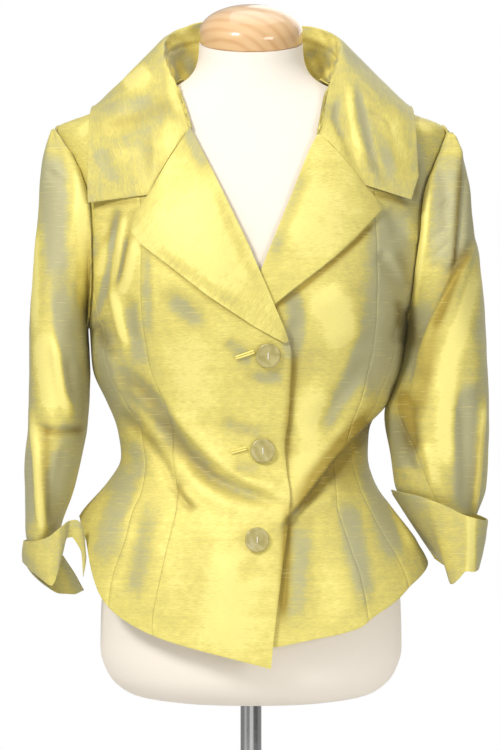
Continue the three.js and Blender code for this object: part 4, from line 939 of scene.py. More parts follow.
collarFit = {
    "last": 7, "rows": 181, "standColumns": 32, "fallColumns": 60, "passes": 30, "keep": 0.7,
    "seamSet": 0.3, "seamLift": 0.4, "rise": 6, "riseAt": 0.8, "riseWide": 0.7, "frontTop": 862, "clear": 2.4,
    "endsAt": 6.95, "fallColumn": 70, "behind": 40, "fallFrom": 26, "fallRun": 16, "frontCast": 0.35,
    "crumple": 0.6, "crumpleSize": 34, "gap": 0.12,
}
standFit = {
    "sway": 1.2, "swayRows": 9, "rowStep": 4.0, "columnStep": 3.2, "top": 34, "topFade": 6, "bottomFade": 5,
    "crumple": 2.1, "crumpleSize": 30, "seamAt": 21, "seamWide": 0.9, "seamDeep": 0.9,
    "ridgeAt": 23.4, "ridgeWide": 1.1, "ridge": 0.5, "lowest": -1.6,
    "castColumns": 31, "castTo": 4.6, "castRun": 1.6, "cast": 0.10, "castCrumple": 1.3, "deep": 0.08,
    "ridgeCast": 0.06, "troughDeep": 0.12,
}
collarCreases = {
    -1: [
        (12, 12, 2.4, (-104, 880), (-118, 856), (-143, 827)),
        (10, 10, -2.6, (-77, 843), (-104, 827), (-151, 810)),
        (14, 14, 1.8, (-81, 798), (-114, 788), (-151, 778)),
        (10, 10, -1.8, (-73, 767), (-96, 788), (-108, 802)),
        (4, 4, -1.2, (-90, 897), (-83, 868), (-73, 833)),
    ],
    1: [
        (4, 5, -2, (110, 857), (117, 815), (127, 770), (140, 752)),
        (4, 4, -1.6, (90, 843), (86, 821), (95, 797), (107, 773)),
        (6, 6, 1.6, (101, 856), (104, 813), (114, 772)),
        (8, 8, 1.6, (137, 833), (143, 792), (149, 757)),
        (2.5, 3.5, -1.3, (120, 829), (135, 823), (147, 804)),
        (3, 3, -1.1, (104, 788), (118, 778), (133, 765)),
        (3, 3, 1, (108, 870), (125, 852), (137, 839)),
    ],
}
# painted sheen, light and shade on the fall of the collar
collarTurned = {
    -1: [
        (8, 8, 0.4, (-157, 827), (-129, 835), (-98, 843)),
        (12, 12, 0.22, (-120, 798), (-104, 765)),
        (13, 13, -1.1, (-135, 858), (-104, 874)),
        (9, 9, 0.3, (-162, 788), (-135, 759)),
        (5, 5, -0.7, (-87, 891), (-81, 850), (-71, 821)),
        (8, 8, -0.4, (-151, 806), (-118, 815)),
        (12, 12, -0.7, (-77, 819), (-85, 767)),
    ],
    1: [
        (4, 5, 0.6, (110, 857), (117, 815), (127, 770)),
        (4, 4, 0.5, (90, 843), (86, 821), (95, 797)),
        (4, 4, -0.8, (101, 856), (104, 813), (114, 778)),
        (6, 6, 0.4, (135, 798), (145, 761)),
        (8, 8, -0.6, (145, 829), (153, 788), (157, 755)),
        (10, 10, -0.5, (77, 819), (90, 778)),
        (9, 9, 0.4, (100, 901), (114, 880)),
    ],
}
collarRun = curveThrough(collarRows, "at")


def clearOfFront(point):
    s = jacket(point[..., 2])
    x, y, z = (point[..., i] for i in range(3))
    over = (np.abs(x) < np.where(x < 0, s["right"], s["left"])) & (z < collarFit["frontTop"]) & (y < 0)
    under = frontPoint(x, z, np.full(x.shape, cloth["wall"] + collarFit["clear"]))
    return np.stack([x, np.where(over, np.minimum(y, under[..., 1]), y), z], axis=-1)


def collarSection(side, at):
    table, c = lapelRows[side], collarFit
    gorge = [np.array(float(table[key][-1])) for key in ("rollZ", "x", "z")]
    rollX = edges(gorge[0])[sideNames[side]]
    end = {
        "seam": frontPoint(rollX - side * c["seamSet"], gorge[0] - 1, c["seamLift"]),
        "roll": lapelPoint(side, rollX, *gorge, np.array(0.0)),
        "mid": lapelPoint(side, rollX, *gorge, np.array(1.0)),
        "edge": np.array(collarTips[side], float),
    }
    lastRow = c["last"] - 1
    r = collarRun(min(at, lastRow))
    t = max(0.0, at - lastRow)
    p = {}
    for key in end:
        x = r[key + "X"]
        if side > 0:
            x = -x + r["shift"]
        rise = 0
        if key == "roll" and side < 0:
            rise = c["rise"] * math.exp(-((at - c["riseAt"]) / c["riseWide"]) ** 2)
        p[key] = mix(np.array([x, r[key + "Y"], r[key + "Z"] + rise], float), end[key], t)
    bendRound = mix(float(r["round"]), 0.0, t)
    stand = mix(p["seam"], p["roll"], np.linspace(0, 1, c["standColumns"] + 1)[:-1, None])
    t2 = np.linspace(0, 1, c["fallColumns"] + 1)[:, None]
    straight = np.where(t2 < 0.5, mix(p["roll"], p["mid"], 2 * t2), mix(p["mid"], p["edge"], 2 * t2 - 1))
    bend = 2 * p["mid"] - 0.5 * p["roll"] - 0.5 * p["edge"]
    curved = mix(mix(p["roll"], bend, t2), mix(bend, p["edge"], t2), t2)
    fall = mix(straight, curved, bendRound)
    return np.concatenate([stand, fall])


def smoothRows(points, passes, keep):
    # evens a grid along its rows and columns, but for its outline
    for _ in range(passes):
        soft = points.copy()
        soft[1:-1, 1:-1] = (points[:-2, 1:-1] + points[2:, 1:-1] + points[1:-1, :-2] + points[1:-1, 2:]) / 4
        points = mix(points, soft, keep)
    return points


collarAt = np.linspace(-collarFit["last"], collarFit["last"], collarFit["rows"])
grid = np.array([collarSection(-1 if at < 0 else 1, abs(at)) for at in collarAt])
grid = smoothRows(grid, collarFit["passes"], collarFit["keep"])
point = np.where(np.abs(collarAt)[:, None, None] < collarFit["endsAt"], clearOfFront(grid), grid)
normal = gridNormals(point, np.array([0, 0, 1.0]))
if normal[collarFit["rows"] // 2, collarFit["fallColumn"], 1] < 0:  # the fall looks to the back
    normal = -normal
column = np.arange(point.shape[1])[None, :]
lift, turned = np.zeros(point.shape[:2]), np.zeros(point.shape[:2])
for side, table in collarCreases.items():
    here = (np.sign(point[..., 0]) == side) & (point[..., 1] < collarFit["behind"])
    fade = (ease((collarFit["behind"] - point[..., 1]) / collarFit["behind"])
            * ease((column - collarFit["fallFrom"]) / collarFit["fallRun"]))
    lift += np.where(here, creaseLift(table, point[..., 0], point[..., 2]) * fade, 0)
    # painted sheen on the fall: greyer on the parts in front, with the listed patches
    patches = shade(collarTurned[side], point[..., 0], point[..., 2])
    turned += collarFit["frontCast"] * here + np.where(here, patches, 0)
size = collarFit["crumpleSize"]
lift += collarFit["crumple"] * crumple(point[..., 0] + point[..., 1], point[..., 2], size, 2)
# the inside of the stand: crumpled, with the seam of its band
s = standFit
row = np.arange(collarFit["rows"])[:, None]
step = column + s["sway"] * np.sin(row / s["swayRows"])
along = row * s["rowStep"] + 0 * step
inside = ease((s["top"] - step) / s["topFade"]) * ease(step / s["bottomFade"])
lift += inside * s["crumple"] * crumple(along, step * s["columnStep"], s["crumpleSize"], 5)
lift -= s["seamDeep"] * np.exp(-((step - s["seamAt"]) / s["seamWide"]) ** 2)
lift += s["ridge"] * np.exp(-((step - s["ridgeAt"]) / s["ridgeWide"]) ** 2)
point = point + normal * np.maximum(lift, s["lowest"])[..., None]
for end, inner in ((0, 1), (-1, -2)):
    point[end] += unit(point[inner] - point[end]) * collarFit["gap"]
# inside the stand: uneven painted sheen and a little painted shade; ridges painted lighter, troughs darker
stand = (column < s["castColumns"]) * ease((s["castTo"] - np.abs(collarAt)) / s["castRun"])[:, None]
standCast = s["cast"] + s["castCrumple"] * crumple(along, step * 2, size, 1)
turned = mix(turned - s["ridgeCast"] * lift, standCast, stand)
deep = s["deep"] * stand - s["troughDeep"] * np.minimum(lift, 0)
clothPiece("collar", point, normal, (turned, deep), uvTurn=90)
print("collar made")

# Sleeves: level sections below the armhole, and a head that joins them to it.
sleeveRows = {
    -1: {"z": [372, 398, 430, 465, 505, 555, 598], "inner": [201, 198, 187, 178, 171, 168.4, 170.6],
         "outer": [231, 235, 235, 236, 232.5, 232, 232], "front": [-68, -72, -76, -78, -77, -75, -74],
         "back": [22, 26, 32, 40, 50, 60, 68]},
    1: {"z": [412, 437, 470, 518, 546, 572, 598], "inner": [172, 151, 146, 139, 149.4, 157.4, 162.8],
        "outer": [236, 245, 247.5, 248.5, 248, 247, 246], "front": [-56, -67, -76, -77, -76, -75, -74],
        "back": [18, 28, 38, 46, 54, 60, 66]},
}
seamSwing = {-1: {"z": [372, 600], "by": [58, 58]}, 1: {"z": [412, 430, 520, 600], "by": [-8, -5, 34, 62]}}
sleeveFit = {
    "top": 598, "reach": 26, "fall": 112, "outward": 0.45, "along": 0.85, "frontSeam": 6, "backSeam": 14,
    "swingAt": 198, "swingWide": 75, "perStep": 9, "headRows": 84, "rowHeight": 2, "passes": 14, "nearRows": 15,
    "cast": 0.2, "hiddenCast": 0.9, "ridgeCast": 0.05, "deep": 1.3, "troughDeep": 0.04, "crumple": 0.5,
    "frontFrom": 0.1, "frontRun": 0.35, "outerFrom": 0.1, "outerRun": 0.7, "hiddenSize": 60,
    "crumpleSize": 42, "perDegree": 0.9, "puff": 6.5, "puffZ": 778, "puffHigh": 52,
    "seamAt": 5, "seamRise": 0.7, "seamRiseWide": 4, "seamDepth": 0.2,
    "gather": 0.22, "gatherStep": 3.4, "gatherWander": 23, "gatherWide": 6,
}
sleeveCreases = {
    -1: [
        (14, 14, -2.6, (-198, 779), (-199, 695), (-195, 602)),
        (7, 5, 4, (-202, 595), (-194, 539), (-184, 509)),
        (6, 6, 1.8, (-180, 741), (-181, 674), (-179, 602)),
        (3, 5, -2.6, (-224, 505), (-201, 500), (-169, 503)),
        (5, 5, 4.6, (-226, 518), (-219, 473), (-216, 428), (-213, 390)),
        (8, 6, -3.2, (-206, 467), (-203, 428), (-202, 399)),
        (5, 5, -2.4, (-187, 574), (-180, 531)),
        (5, 6, 1.8, (-196, 800), (-183, 774), (-175, 736)),
        (9, 7, 2.4, (-219, 726), (-222, 644), (-221, 536)),
        (5, 5, -1.8, (-190, 484), (-196, 451), (-199, 416)),
        (5, 7, -2, (-186, 659), (-175, 633), (-169, 602)),
        (4, 4, -1.4, (-208, 769), (-202, 761), (-190, 755)),
    ],
    1: [
        (6, 4, 4.2, (195, 801), (184, 751), (179, 696), (169, 630)),
        (1.6, 13, 3, (211, 808), (213, 772), (212, 730), (206, 656)),
        (5, 1.6, -1.4, (214, 804), (217, 772), (216, 730), (209, 658)),
        (2.5, 2.5, -1, (206, 739), (195, 730), (182, 722)),
        (2.5, 2.5, -1, (205, 713), (194, 703), (184, 695)),
        (3, 2, -1, (206, 695), (192, 683), (178, 672)),
        (2, 3, -1, (204, 662), (190, 668), (180, 664)),
        (7, 5, 2.2, (220, 772), (219, 705), (216, 656)),
        (17, 2.4, 6.4, (235, 697), (222, 678), (206, 653), (190, 621), (178, 587), (167, 551)),
        (11, 2.6, -3.6, (161, 547), (174, 587), (187, 622), (203, 655), (220, 682)),
        (9, 9, -3.4, (216, 545), (219, 490), (222, 414)),
        (4, 4, 4.4, (241, 533), (236, 490), (230, 410)),
        (5, 5, 2.6, (178, 487), (190, 438)),
        (8, 8, -3.2, (164, 535), (166, 490), (158, 457)),
        (3, 3, -1.3, (203, 738), (197, 724)),
        (3, 3, -1.3, (209, 672), (199, 658)),
        (9, 9, 2.4, (231, 602), (232, 561), (225, 531)),
        (7, 7, -2.2, (190, 785), (200, 746), (199, 695)),
        (6, 6, -2, (151, 500), (157, 471), (178, 451)),
    ],
}
sleeveBackCreases = {
    -1: [
        (10, 10, 2.6, (-226, 520), (-206, 500), (-186, 504)),
        (8, 8, -2.6, (-228, 500), (-208, 478), (-184, 482)),
        (12, 12, -2.2, (-205, 700), (-200, 640), (-204, 580)),
        (9, 9, 2.2, (-190, 690), (-186, 630), (-184, 570)),
        (7, 7, 3.0, (-222, 470), (-218, 430), (-212, 388)),
    ],
    1: [
        (10, 10, 3.4, (190, 506), (214, 496), (240, 514)),
        (8, 8, -3.0, (186, 484), (212, 474), (242, 492)),
        (12, 12, -2.2, (205, 700), (202, 640), (206, 580)),
        (9, 9, 2.2, (226, 660), (230, 610), (226, 560)),
        (7, 7, 2.6, (214, 470), (206, 440), (198, 424)),
    ],
}
# painted sheen, light and shade on the fronts of the sleeves
sleeveTurned = {
    -1: [
        (13, 12, 0.95, (-204, 791), (-203, 720), (-198, 649)),
        (10, 9, 0.95, (-198, 649), (-191, 582), (-184, 522)),
        (5, 5, -1, (-222, 710), (-222, 602)),
        (11, 11, -0.9, (-214, 602), (-209, 551), (-204, 515)),
        (11, 11, 0.7, (-194, 483), (-198, 438), (-202, 399)),
        (5, 5, -0.9, (-202, 595), (-194, 539), (-184, 509)),
        (4, 4, -1.2, (-226, 516), (-219, 473), (-216, 428), (-212, 390)),
        (6, 6, 0.6, (-184, 570), (-178, 533)),
        (6, 6, -0.9, (-178, 777), (-173, 685), (-173, 602)),
        (7, 7, 0.6, (-230, 490), (-228, 449), (-225, 397)),
    ],
    1: [
        (22, 24, 0.8, (206, 787), (208, 720), (200, 656)),
        (3.5, 3.5, -1.6, (194, 797), (183, 746), (178, 695), (169, 631)),
        (5, 5, -0.5, (225, 767), (231, 710)),
        (13, 7, -1.2, (231, 672), (219, 623), (204, 582), (192, 531)),
        (10, 10, -0.9, (210, 551), (198, 500), (200, 459)),
        (7, 7, -0.6, (180, 490), (191, 438)),
        (9, 9, 0.5, (178, 633), (171, 582), (163, 549)),
        (11, 11, 0.95, (221, 553), (220, 490), (222, 414)),
        (9, 9, 0.8, (149, 518), (159, 459)),
        (3, 3, -1.6, (241, 531), (236, 484), (230, 410)),
    ],
}
# painted shadow on the sleeves, in hollows and along folds
sleeveDeep = {
    -1: [
        (4, 4, 0.5, (-221, 502), (-200, 497), (-169, 500)),
        (5, 5, 0.5, (-208, 510), (-210, 459), (-206, 397)),
        (7, 7, 0.35, (-173, 582), (-171, 531), (-175, 479)),
        (4, 4, 0.4, (-169, 705), (-167, 644), (-167, 602)),
    ],
    1: [
        (4, 7, 0.9, (229, 695), (212, 666), (201, 633), (188, 594)),
        (6, 14, 0.6, (192, 602), (182, 561), (173, 510)),
        (9, 9, 0.9, (155, 546), (161, 505), (167, 473)),
        (8, 8, 0.5, (157, 633), (165, 602), (167, 580)),
        (2.5, 2.5, 0.8, (213, 781), (211, 730), (207, 656)),
        (6, 6, 0.5, (229, 767), (231, 720), (233, 695)),
        (5, 5, 0.5, (157, 633), (158, 602), (155, 576)),
        (5, 5, 0.4, (235, 510), (231, 459), (227, 410)),
    ],
}
sleeveRuns = {side: curveThrough(rows, "z") for side, rows in sleeveRows.items()}


def sleevePoint(side, degrees, z):
    # the front seam swings round to the side of the body on its way down
    by = np.interp(z, seamSwing[side]["z"], seamSwing[side]["by"])
    swing = np.exp(-(((degrees + 90) % 360 - sleeveFit["swingAt"]) / sleeveFit["swingWide"]) ** 2)
    degrees = degrees + by * swing
    s = sleeveRuns[side](z)
    cosine, sine = np.cos(np.radians(degrees)), np.sin(np.radians(degrees))
    x = side * mix(s["inner"], s["outer"], (1 + cosine) / 2)
    y = mix(s["back"], s["front"], (1 + sine) / 2)
    return np.stack(np.broadcast_arrays(x, y, z), axis=-1)


def sleeveHead(side, degrees, t):
    step = degrees / 360 * fit["armholeSteps"]
    turn, z = armhole(side, step)
    edge, normal = bodyPoint(turn, z), bodyNormal(turn, z)
    before, after = armhole(side, step - 0.05), armhole(side, step + 0.05)
    tangent = unit(bodyPoint(*after) - bodyPoint(*before))
    across = unit(np.cross(tangent, normal)) * side
    start = edge + across * 0.3
    finish = sleevePoint(side, degrees, np.full(np.shape(degrees), float(sleeveFit["top"])))
    length = np.linalg.norm(finish - start, axis=-1)
    outward = sleeveFit["outward"] * (1 - np.maximum(0, normal[..., 2]))
    leave = unit(normal * outward[..., None] + across * sleeveFit["along"])
    first = start + leave * np.minimum(0.4 * length, sleeveFit["reach"])[..., None]
    second = finish + np.array([0, 0, 1.0]) * np.minimum(0.5 * length, sleeveFit["fall"])[..., None]
    t = t[:, None, None]
    curve = start * (1 - t) ** 3 + first * 3 * t * (1 - t) ** 2 + second * 3 * t * t * (1 - t) + finish * t ** 3
    return curve, normal


def sleeveGrid(side, firstStep, lastStep):
    f = sleeveFit
    columns = (lastStep - firstStep) * f["perStep"]
    degrees = np.linspace(firstStep, lastStep, columns + 1) / fit["armholeSteps"] * 360
    pad = 360 / fit["armholeSteps"] / f["perStep"]
    wide = np.concatenate([[degrees[0] - pad], degrees, [degrees[-1] + pad]])
    head, seamNormal = sleeveHead(side, wide, np.linspace(0, 1, f["headRows"] + 1))
    low = sleeveRows[side]["z"][0]
    z = np.linspace(f["top"], low, int((f["top"] - low) / f["rowHeight"]) + 1)[1:, None]
    tube = sleevePoint(side, wide[None, :] + 0 * z, z + 0 * wide[None, :])
    grid = np.concatenate([head, tube])
    for _ in range(f["passes"]):  # rounds the change from the head to the level sections
        soft = grid.copy()
        soft[1:-1] = (grid[:-2] + 2 * grid[1:-1] + grid[2:]) / 4
        grid = soft
    round360 = np.radians(wide)
    outward = np.stack(np.broadcast_arrays(side * np.cos(round360), -np.sin(round360), 0 * wide), axis=-1)
    across = grid[:, 2:] - grid[:, :-2]
    down = np.gradient(grid, axis=0)[:, 1:-1]
    normal = unit(np.cross(across, down)) * side
    agree = np.sum(normal * outward[1:-1], axis=-1).sum()
    normal = normal * np.sign(agree)
    normal[0] = seamNormal[1:-1]
    grid = grid[:, 1:-1]
    x, z = grid[..., 0], grid[..., 2]
    toFront, toBack = (ease(way * normal[..., 1] / f["frontRun"] + f["frontFrom"]) for way in (-1, 1))
    lift = creaseLift(sleeveCreases[side], x, z) * toFront + creaseLift(sleeveBackCreases[side], x, z) * toBack
    # painted sheen, light and shade: the tables in front, uneven greys behind, ridges lighter, troughs darker
    hidden = crumple(x * 1.4, z * 0.5, f["hiddenSize"], 4 + side) * f["hiddenCast"] * (1 - toFront)
    turned = f["cast"] + shade(sleeveTurned[side], x, z) * toFront + hidden - f["ridgeCast"] * lift
    deep = f["deep"] * creaseLift(sleeveDeep[side], x, z) * toFront - f["troughDeep"] * np.minimum(lift, 0)
    lift += f["crumple"] * crumple(degrees[None, :] * f["perDegree"] + 0 * z, z, f["crumpleSize"], 7 + side)
    outer = ease((normal[..., 0] * side - f["outerFrom"]) / f["outerRun"])
    lift += f["puff"] * outer * np.exp(-((z - f["puffZ"]) / f["puffHigh"]) ** 2)
    near = ease(np.arange(grid.shape[0])[:, None] / f["nearRows"])
    grid = grid + normal * (lift * near)[..., None]
    around, fromSeam = arcs(grid, 1), arcs(grid, 0) - f["seamAt"]
    rise = f["seamRise"] * np.exp(-(fromSeam / f["seamRiseWide"]) ** 2)
    gather = (f["gather"] * np.sin(around / f["gatherStep"] + 1.5 * np.sin(around / f["gatherWander"]))
              * np.exp(-(fromSeam / f["gatherWide"]) ** 2))
    grid = grid + normal * (rise + gather + seamDip(grid, (True, True), side, f["seamDepth"]))[..., None]
    return drawIn(grid), normal, (turned, deep)


for side, name in sideNames.items():
    front, back, steps = sleeveFit["frontSeam"], sleeveFit["backSeam"], fit["armholeSteps"]
    for part, first, last in (("upper", back - steps, front), ("under", front, back)):
        point, normal, cast = sleeveGrid(side, first, last)
        clothPiece("sleeve_" + part + "_" + name, point, normal, cast)
print("sleeves made")

# Cuffs: the folded lower edge and the loose upper one, from one end of the split round to the other.
cuffRows = {
    -1: {"at": list(range(16)),
         "lowX": [-176.4, -188, -203, -219, -231, -238, -231, -219, -204, -197, -192, -188.5, -184, -178.5,
                  -174, -172.5],
         "lowY": [18, 32, 38, 32, 8, -22, -52, -72, -82, -82, -78, -72, -71, -70, -68, -66],
         "lowZ": [329, 324, 324, 333, 347, 362, 358, 350, 341, 355, 375, 389, 390, 383, 373, 348],
         "topX": [-198, -211, -226, -235, -238, -237, -232, -222, -207, -198, -191, -185.5, -180, -175,
                  -171.5, -169],
         "topY": [10, 26, 32, 22, 2, -26, -54, -74, -84, -86, -82, -74, -72, -70, -67, -65],
         "topZ": [366, 374, 380, 382, 383, 384, 385, 386, 391, 398, 403, 407, 408, 405, 396, 369]},
    1: {"at": list(range(13)),
        "lowX": [196, 208, 220, 231, 238, 235, 229, 221, 213, 205.5, 199, 195, 191],
        "lowY": [52, 52, 44, 26, -8, -48, -66, -72, -70, -62, -46, -22, 2],
        "lowZ": [360, 352, 347, 349, 353, 355, 354, 355, 347, 341, 361, 364, 368],
        "topX": [150, 176, 206, 234, 247, 245, 232, 216, 202, 187, 174, 158, 146],
        "topY": [44, 52, 50, 34, -6, -48, -72, -79, -77, -73, -67, -54, -16],
        "topZ": [430, 427, 420, 411, 406, 406, 409, 414, 421, 427, 431, 434, 436]},
}
cuffFit = {
    "rows": 26, "perStep": 9, "bow": {-1: 1.0, 1: 1.25}, "middle": (205, -20, 380), "crumple": 0.5,
    "crumpleSize": 30, "cast": 0.35, "castCrumple": 0.6, "castSize": 44,
    "foldX": 225.5, "foldWide": 4, "foldBright": 2.2, "foldFront": -30,
}


def cuffGrid(side):
    table = cuffRows[side]
    last = table["at"][-1]
    r = curveThrough(table, "at")(np.linspace(0, last, last * cuffFit["perStep"] + 1))
    low, top = (np.stack([r[edge + axis] for axis in "XYZ"], axis=-1) for edge in ("low", "top"))
    t = np.linspace(0, 1, cuffFit["rows"] + 1)[:, None, None]
    grid = mix(low[None], top[None], t)
    x, y, z = cuffFit["middle"]
    normal = gridNormals(grid, unit(grid - np.array([side * x, y, z], float)))
    bow = cuffFit["bow"][side] * np.sin(np.pi * t[..., 0])
    wavy = cuffFit["crumple"] * crumple(arcs(grid, 1), grid[..., 2], cuffFit["crumpleSize"], 4 + side)
    return grid + normal * (bow + wavy)[..., None], normal


for side, name in sideNames.items():
    point, normal = cuffGrid(side)
    x, y, z = (point[..., i] for i in range(3))
    # uneven painted sheen on the cuffs
    turned = cuffFit["cast"] + cuffFit["castCrumple"] * crumple(x, z * 0.6, cuffFit["castSize"], 6 + side)
    if side > 0:  # a painted highlight: the fold that stands at the outer side is painted bright
        fold = np.exp(-((x - cuffFit["foldX"]) / cuffFit["foldWide"]) ** 2) * (y < cuffFit["foldFront"])
        turned = turned - cuffFit["foldBright"] * fold
    clothPiece("cuff_" + name, point, normal, (turned, 0.0))
print("cuffs made")

# Buttons, their bars of thread and the lips of the buttonholes.
buttonRows = [(17, 577.5, 0, 0), (11.5, 480, -3, -4), (5, 389.5, 14, 12)]  # X, Z, lean, swing
button = {
    "radius": 12.6, "steps": 72, "seat": 1.5, "tiltShare": 0.82, "play": 0.9, "gap": 0.1,
    "bar": (0.0011, 0.0065, 0.0009), "barBevel": 0.0003, "barLift": 0.0026,
}
buttonProfile = [
    (0, 0), (10.3, 0), (11.6, 0.35), (12.4, 0.95), (12.6, 1.5), (12.4, 2.2), (11.7, 2.8), (10.9, 3.0),
    (10.2, 2.85), (9.2, 2.45), (7.5, 2.2), (4.0, 2.06), (0, 2.0),
]


def turnedPiece(node, profile, material, steps, place=Matrix.Identity(4)):
    # a profile of radius and height turned on +Z, then put in its place
    bm = bmesh.new()
    verts = [bm.verts.new((radius * mm, 0, height * mm)) for radius, height in profile]
    for pair in zip(verts, verts[1:]):
        bm.edges.new(pair)
    bmesh.ops.spin(bm, geom=bm.verts[:] + bm.edges[:], cent=(0, 0, 0), axis=(0, 0, 1),
                   angle=2 * math.pi, steps=steps, use_merge=True)
    bmesh.ops.remove_doubles(bm, verts=bm.verts[:], dist=1e-6)
    bmesh.ops.recalc_face_normals(bm, faces=bm.faces[:])
    bmesh.ops.transform(bm, matrix=place, verts=bm.verts[:])
    mesh = meshOf(bm, node)
    piece = objectOf("turned_" + node, mesh, material)
    mesh.set_sharp_from_angle(angle=math.radians(40))
    stated(piece, node)


shellLook, threadLook = pearlShell(), stitchThread()
for number, (x, z, lean, swing) in enumerate(buttonRows, 1):
    x, z = np.array(float(x)), np.array(float(z))
    seat = frontPoint(x, z, overLap(x) + button["seat"])
    out = Vector(unit(frontPoint(x, z, overLap(x) + button["seat"] + 1) - seat))
    out.rotate(Matrix.Rotation(math.radians(lean), 3, "X"))
    out.rotate(Matrix.Rotation(math.radians(swing), 3, "Z"))
    tilt = math.sin(math.radians(math.hypot(lean, swing)))
    raised = max(0, tilt * button["radius"] * button["tiltShare"] - button["play"])
    across = out.cross(Vector((0, 0, 1))).normalized()
    up = across.cross(out)
    centre = (Vector(seat) + out * (raised + button["gap"])) * mm
    place = Matrix.Translation(centre) @ Matrix((across, up, out)).transposed().to_4x4()
    turnedPiece("button_%d" % number, buttonProfile, shellLook, button["steps"], place)
    bm = bmesh.new()  # the bar of thread
    bmesh.ops.create_cube(bm, size=1.0)
    bmesh.ops.scale(bm, vec=button["bar"], verts=bm.verts[:])
    bmesh.ops.bevel(bm, geom=bm.edges[:], offset=button["barBevel"], segments=3, profile=0.5, affect="EDGES",
                    material=-1)
    bmesh.ops.transform(bm, matrix=place @ Matrix.Translation((0, 0, button["barLift"])), verts=bm.verts[:])
    barMesh = meshOf(bm, "button_thread_%d" % number)
    stated(objectOf("stitch_bar_%d" % number, barMesh, threadLook), "button_thread_%d" % number)

holes = [(-6, 578, 20, 4.4, 18), (-12, 480.5, 16, 4.4, 15)]  # X, Z, length, height, slope
lip = {
    "wall": 0.8, "rows": 17, "columns": 25, "taper": 0.25, "lift": 1.2, "round": 1.5, "uneven": 0.15,
    "cast": -0.8,
}
for number, (x, z, length, high, slope) in enumerate(holes, 1):
    c, s = math.cos(math.radians(slope)), math.sin(math.radians(slope))
    up = np.linspace(-0.5, 0.5, lip["rows"])[:, None]
    over = np.linspace(-0.5, 0.5, lip["columns"])[None, :]
    taper = 1 - lip["taper"] * (2 * over) ** 6
    px = x + over * length * c - up * high * s * taper
    pz = z + over * length * s + up * high * c * taper
    lipRound = np.sqrt(np.clip(1 - (4 * np.abs(up) - 1) ** 2, 0, 1))
    rise = lip["lift"] + lip["round"] * lipRound + lip["uneven"] * np.sin(over * 40 + up * 9)
    point = frontPoint(px, pz, overLap(px) + rise)
    normal = gridNormals(point, np.array([0, -1.0, 0]))
    # the lips in the bright yellow of the painted sheen
    clothPiece("buttonhole_%d" % number, point, normal, (lip["cast"], 0.0), wall=lip["wall"])
print("buttons made")

# The dress form: half width, depths and the slant of its top by height.
formRows = {
    "z": [214.5, 217.5, 227, 244, 270, 315, 360, 405, 440, 470, 505, 550, 600, 645, 700, 740, 775, 800, 816,
          828, 840, 852, 864, 875, 888, 905.2],
    "half": [84, 112, 134, 150, 158, 157, 151, 136, 121, 113, 113, 130, 151, 164, 172, 178, 184, 187, 189,
             164, 131, 97.5, 70, 60, 55.5, 54.2],
    "front": [50, 70, 86, 98, 105, 109, 107, 101, 95, 92, 94, 101, 113, 119.5, 115.5, 108, 96, 85, 77, 71,
              65, 60, 57, 55.5, 54.6, 54.2],
    "back": [54, 75, 91, 103, 110, 112, 105, 89, 77, 72, 75, 84, 96, 103.5, 105.5, 104.5, 101.5, 95, 88, 84,
             77, 68, 60, 56, 54.6, 54.2],
    "taper": [1, 1, 1, 0.98, 0.96, 0.95, 0.94, 0.92, 0.9, 0.9, 0.9, 0.88, 0.86, 0.88, 0.94, 1, 1.1, 1.2, 1.3,
              1.35, 1.35, 1.3, 1.1, 1, 1, 1],
    "tilt": [0, 0, 0, 0, 0, 0, 0, 0, 0, 0, 0, 0, 0, 0, 0, 0, 0, 0, 0, 0, 0, 0, 0, 0.08, 0.2, 0.307],
}
form = {
    "top": 905.2, "tilt": 0.307, "foot": 214.5, "sides": 144, "rowStep": 4.0, "sharp": 55, "joint": 0.3,
    "capRadius": 54.2, "capWall": 11, "capHigh": 28, "capGap": 0.33,
}


def torsoRings():
    # rings from the middle of the underside to the middle of the slanted top
    z = np.concatenate([[form["foot"], 214.7, 215.2, 216, 217.5, 219.5, 222],
                        np.arange(225, 900, form["rowStep"]), [900, 903, form["top"]]])
    turn = np.arange(form["sides"]) / form["sides"] * 360
    s = {key: values[:, None] for key, values in curveThrough(formRows, "z", 3)(z).items()}
    s["right"] = s["left"] = s["half"]
    rings = sectionPoint(s, turn[None, :], z[:, None] + 0 * turn[None, :])
    chest = bust(rings[..., 0], rings[..., 2]) * ease(-rings[..., 1] / fit["sideFade"]) * (rings[..., 1] < 0)
    rings = rings + outwardOf(rings) * chest[..., None]
    rings[..., 2] += s["tilt"] * rings[..., 1]
    return rings


rings = torsoRings()
bm = bmesh.new()
bmesh.ops.create_circle(bm, cap_ends=True, cap_tris=False, radius=1.0, segments=form["sides"])
current = sorted(bm.verts, key=lambda v: math.atan2(v.co.x, -v.co.y) % (2 * math.pi))
for vert, co in zip(current, rings[0]):
    vert.co = Vector(co) * mm
ringEdges = bm.edges[:]
for ring in rings[1:]:
    made = bmesh.ops.extrude_edge_only(bm, edges=ringEdges)["geom"]
    verts = {g for g in made if isinstance(g, bmesh.types.BMVert)}
    ringEdges = [g for g in made if isinstance(g, bmesh.types.BMEdge) and all(v in verts for v in g.verts)]
    near = {tuple(round(c, 7) for c in v.co): v for v in verts}
    current = [near[tuple(round(c, 7) for c in v.co)] for v in current]
    for vert, co in zip(current, ring):
        vert.co = Vector(co) * mm
bmesh.ops.contextual_create(bm, geom=ringEdges)
bmesh.ops.recalc_face_normals(bm, faces=bm.faces[:])
mesh = meshOf(bm, "form_torso")
torso = objectOf("jersey_torso", mesh, jersey())
mesh.set_sharp_from_angle(angle=math.radians(form["sharp"]))
stated(torso, "form_torso")
wide, wall = form["capRadius"], form["capWall"]
capProfile = [(0, 0), (52.4, 0), (53.5, 0.4), (54.1, 1.3), (wide, 2.4), (wide, wall)]
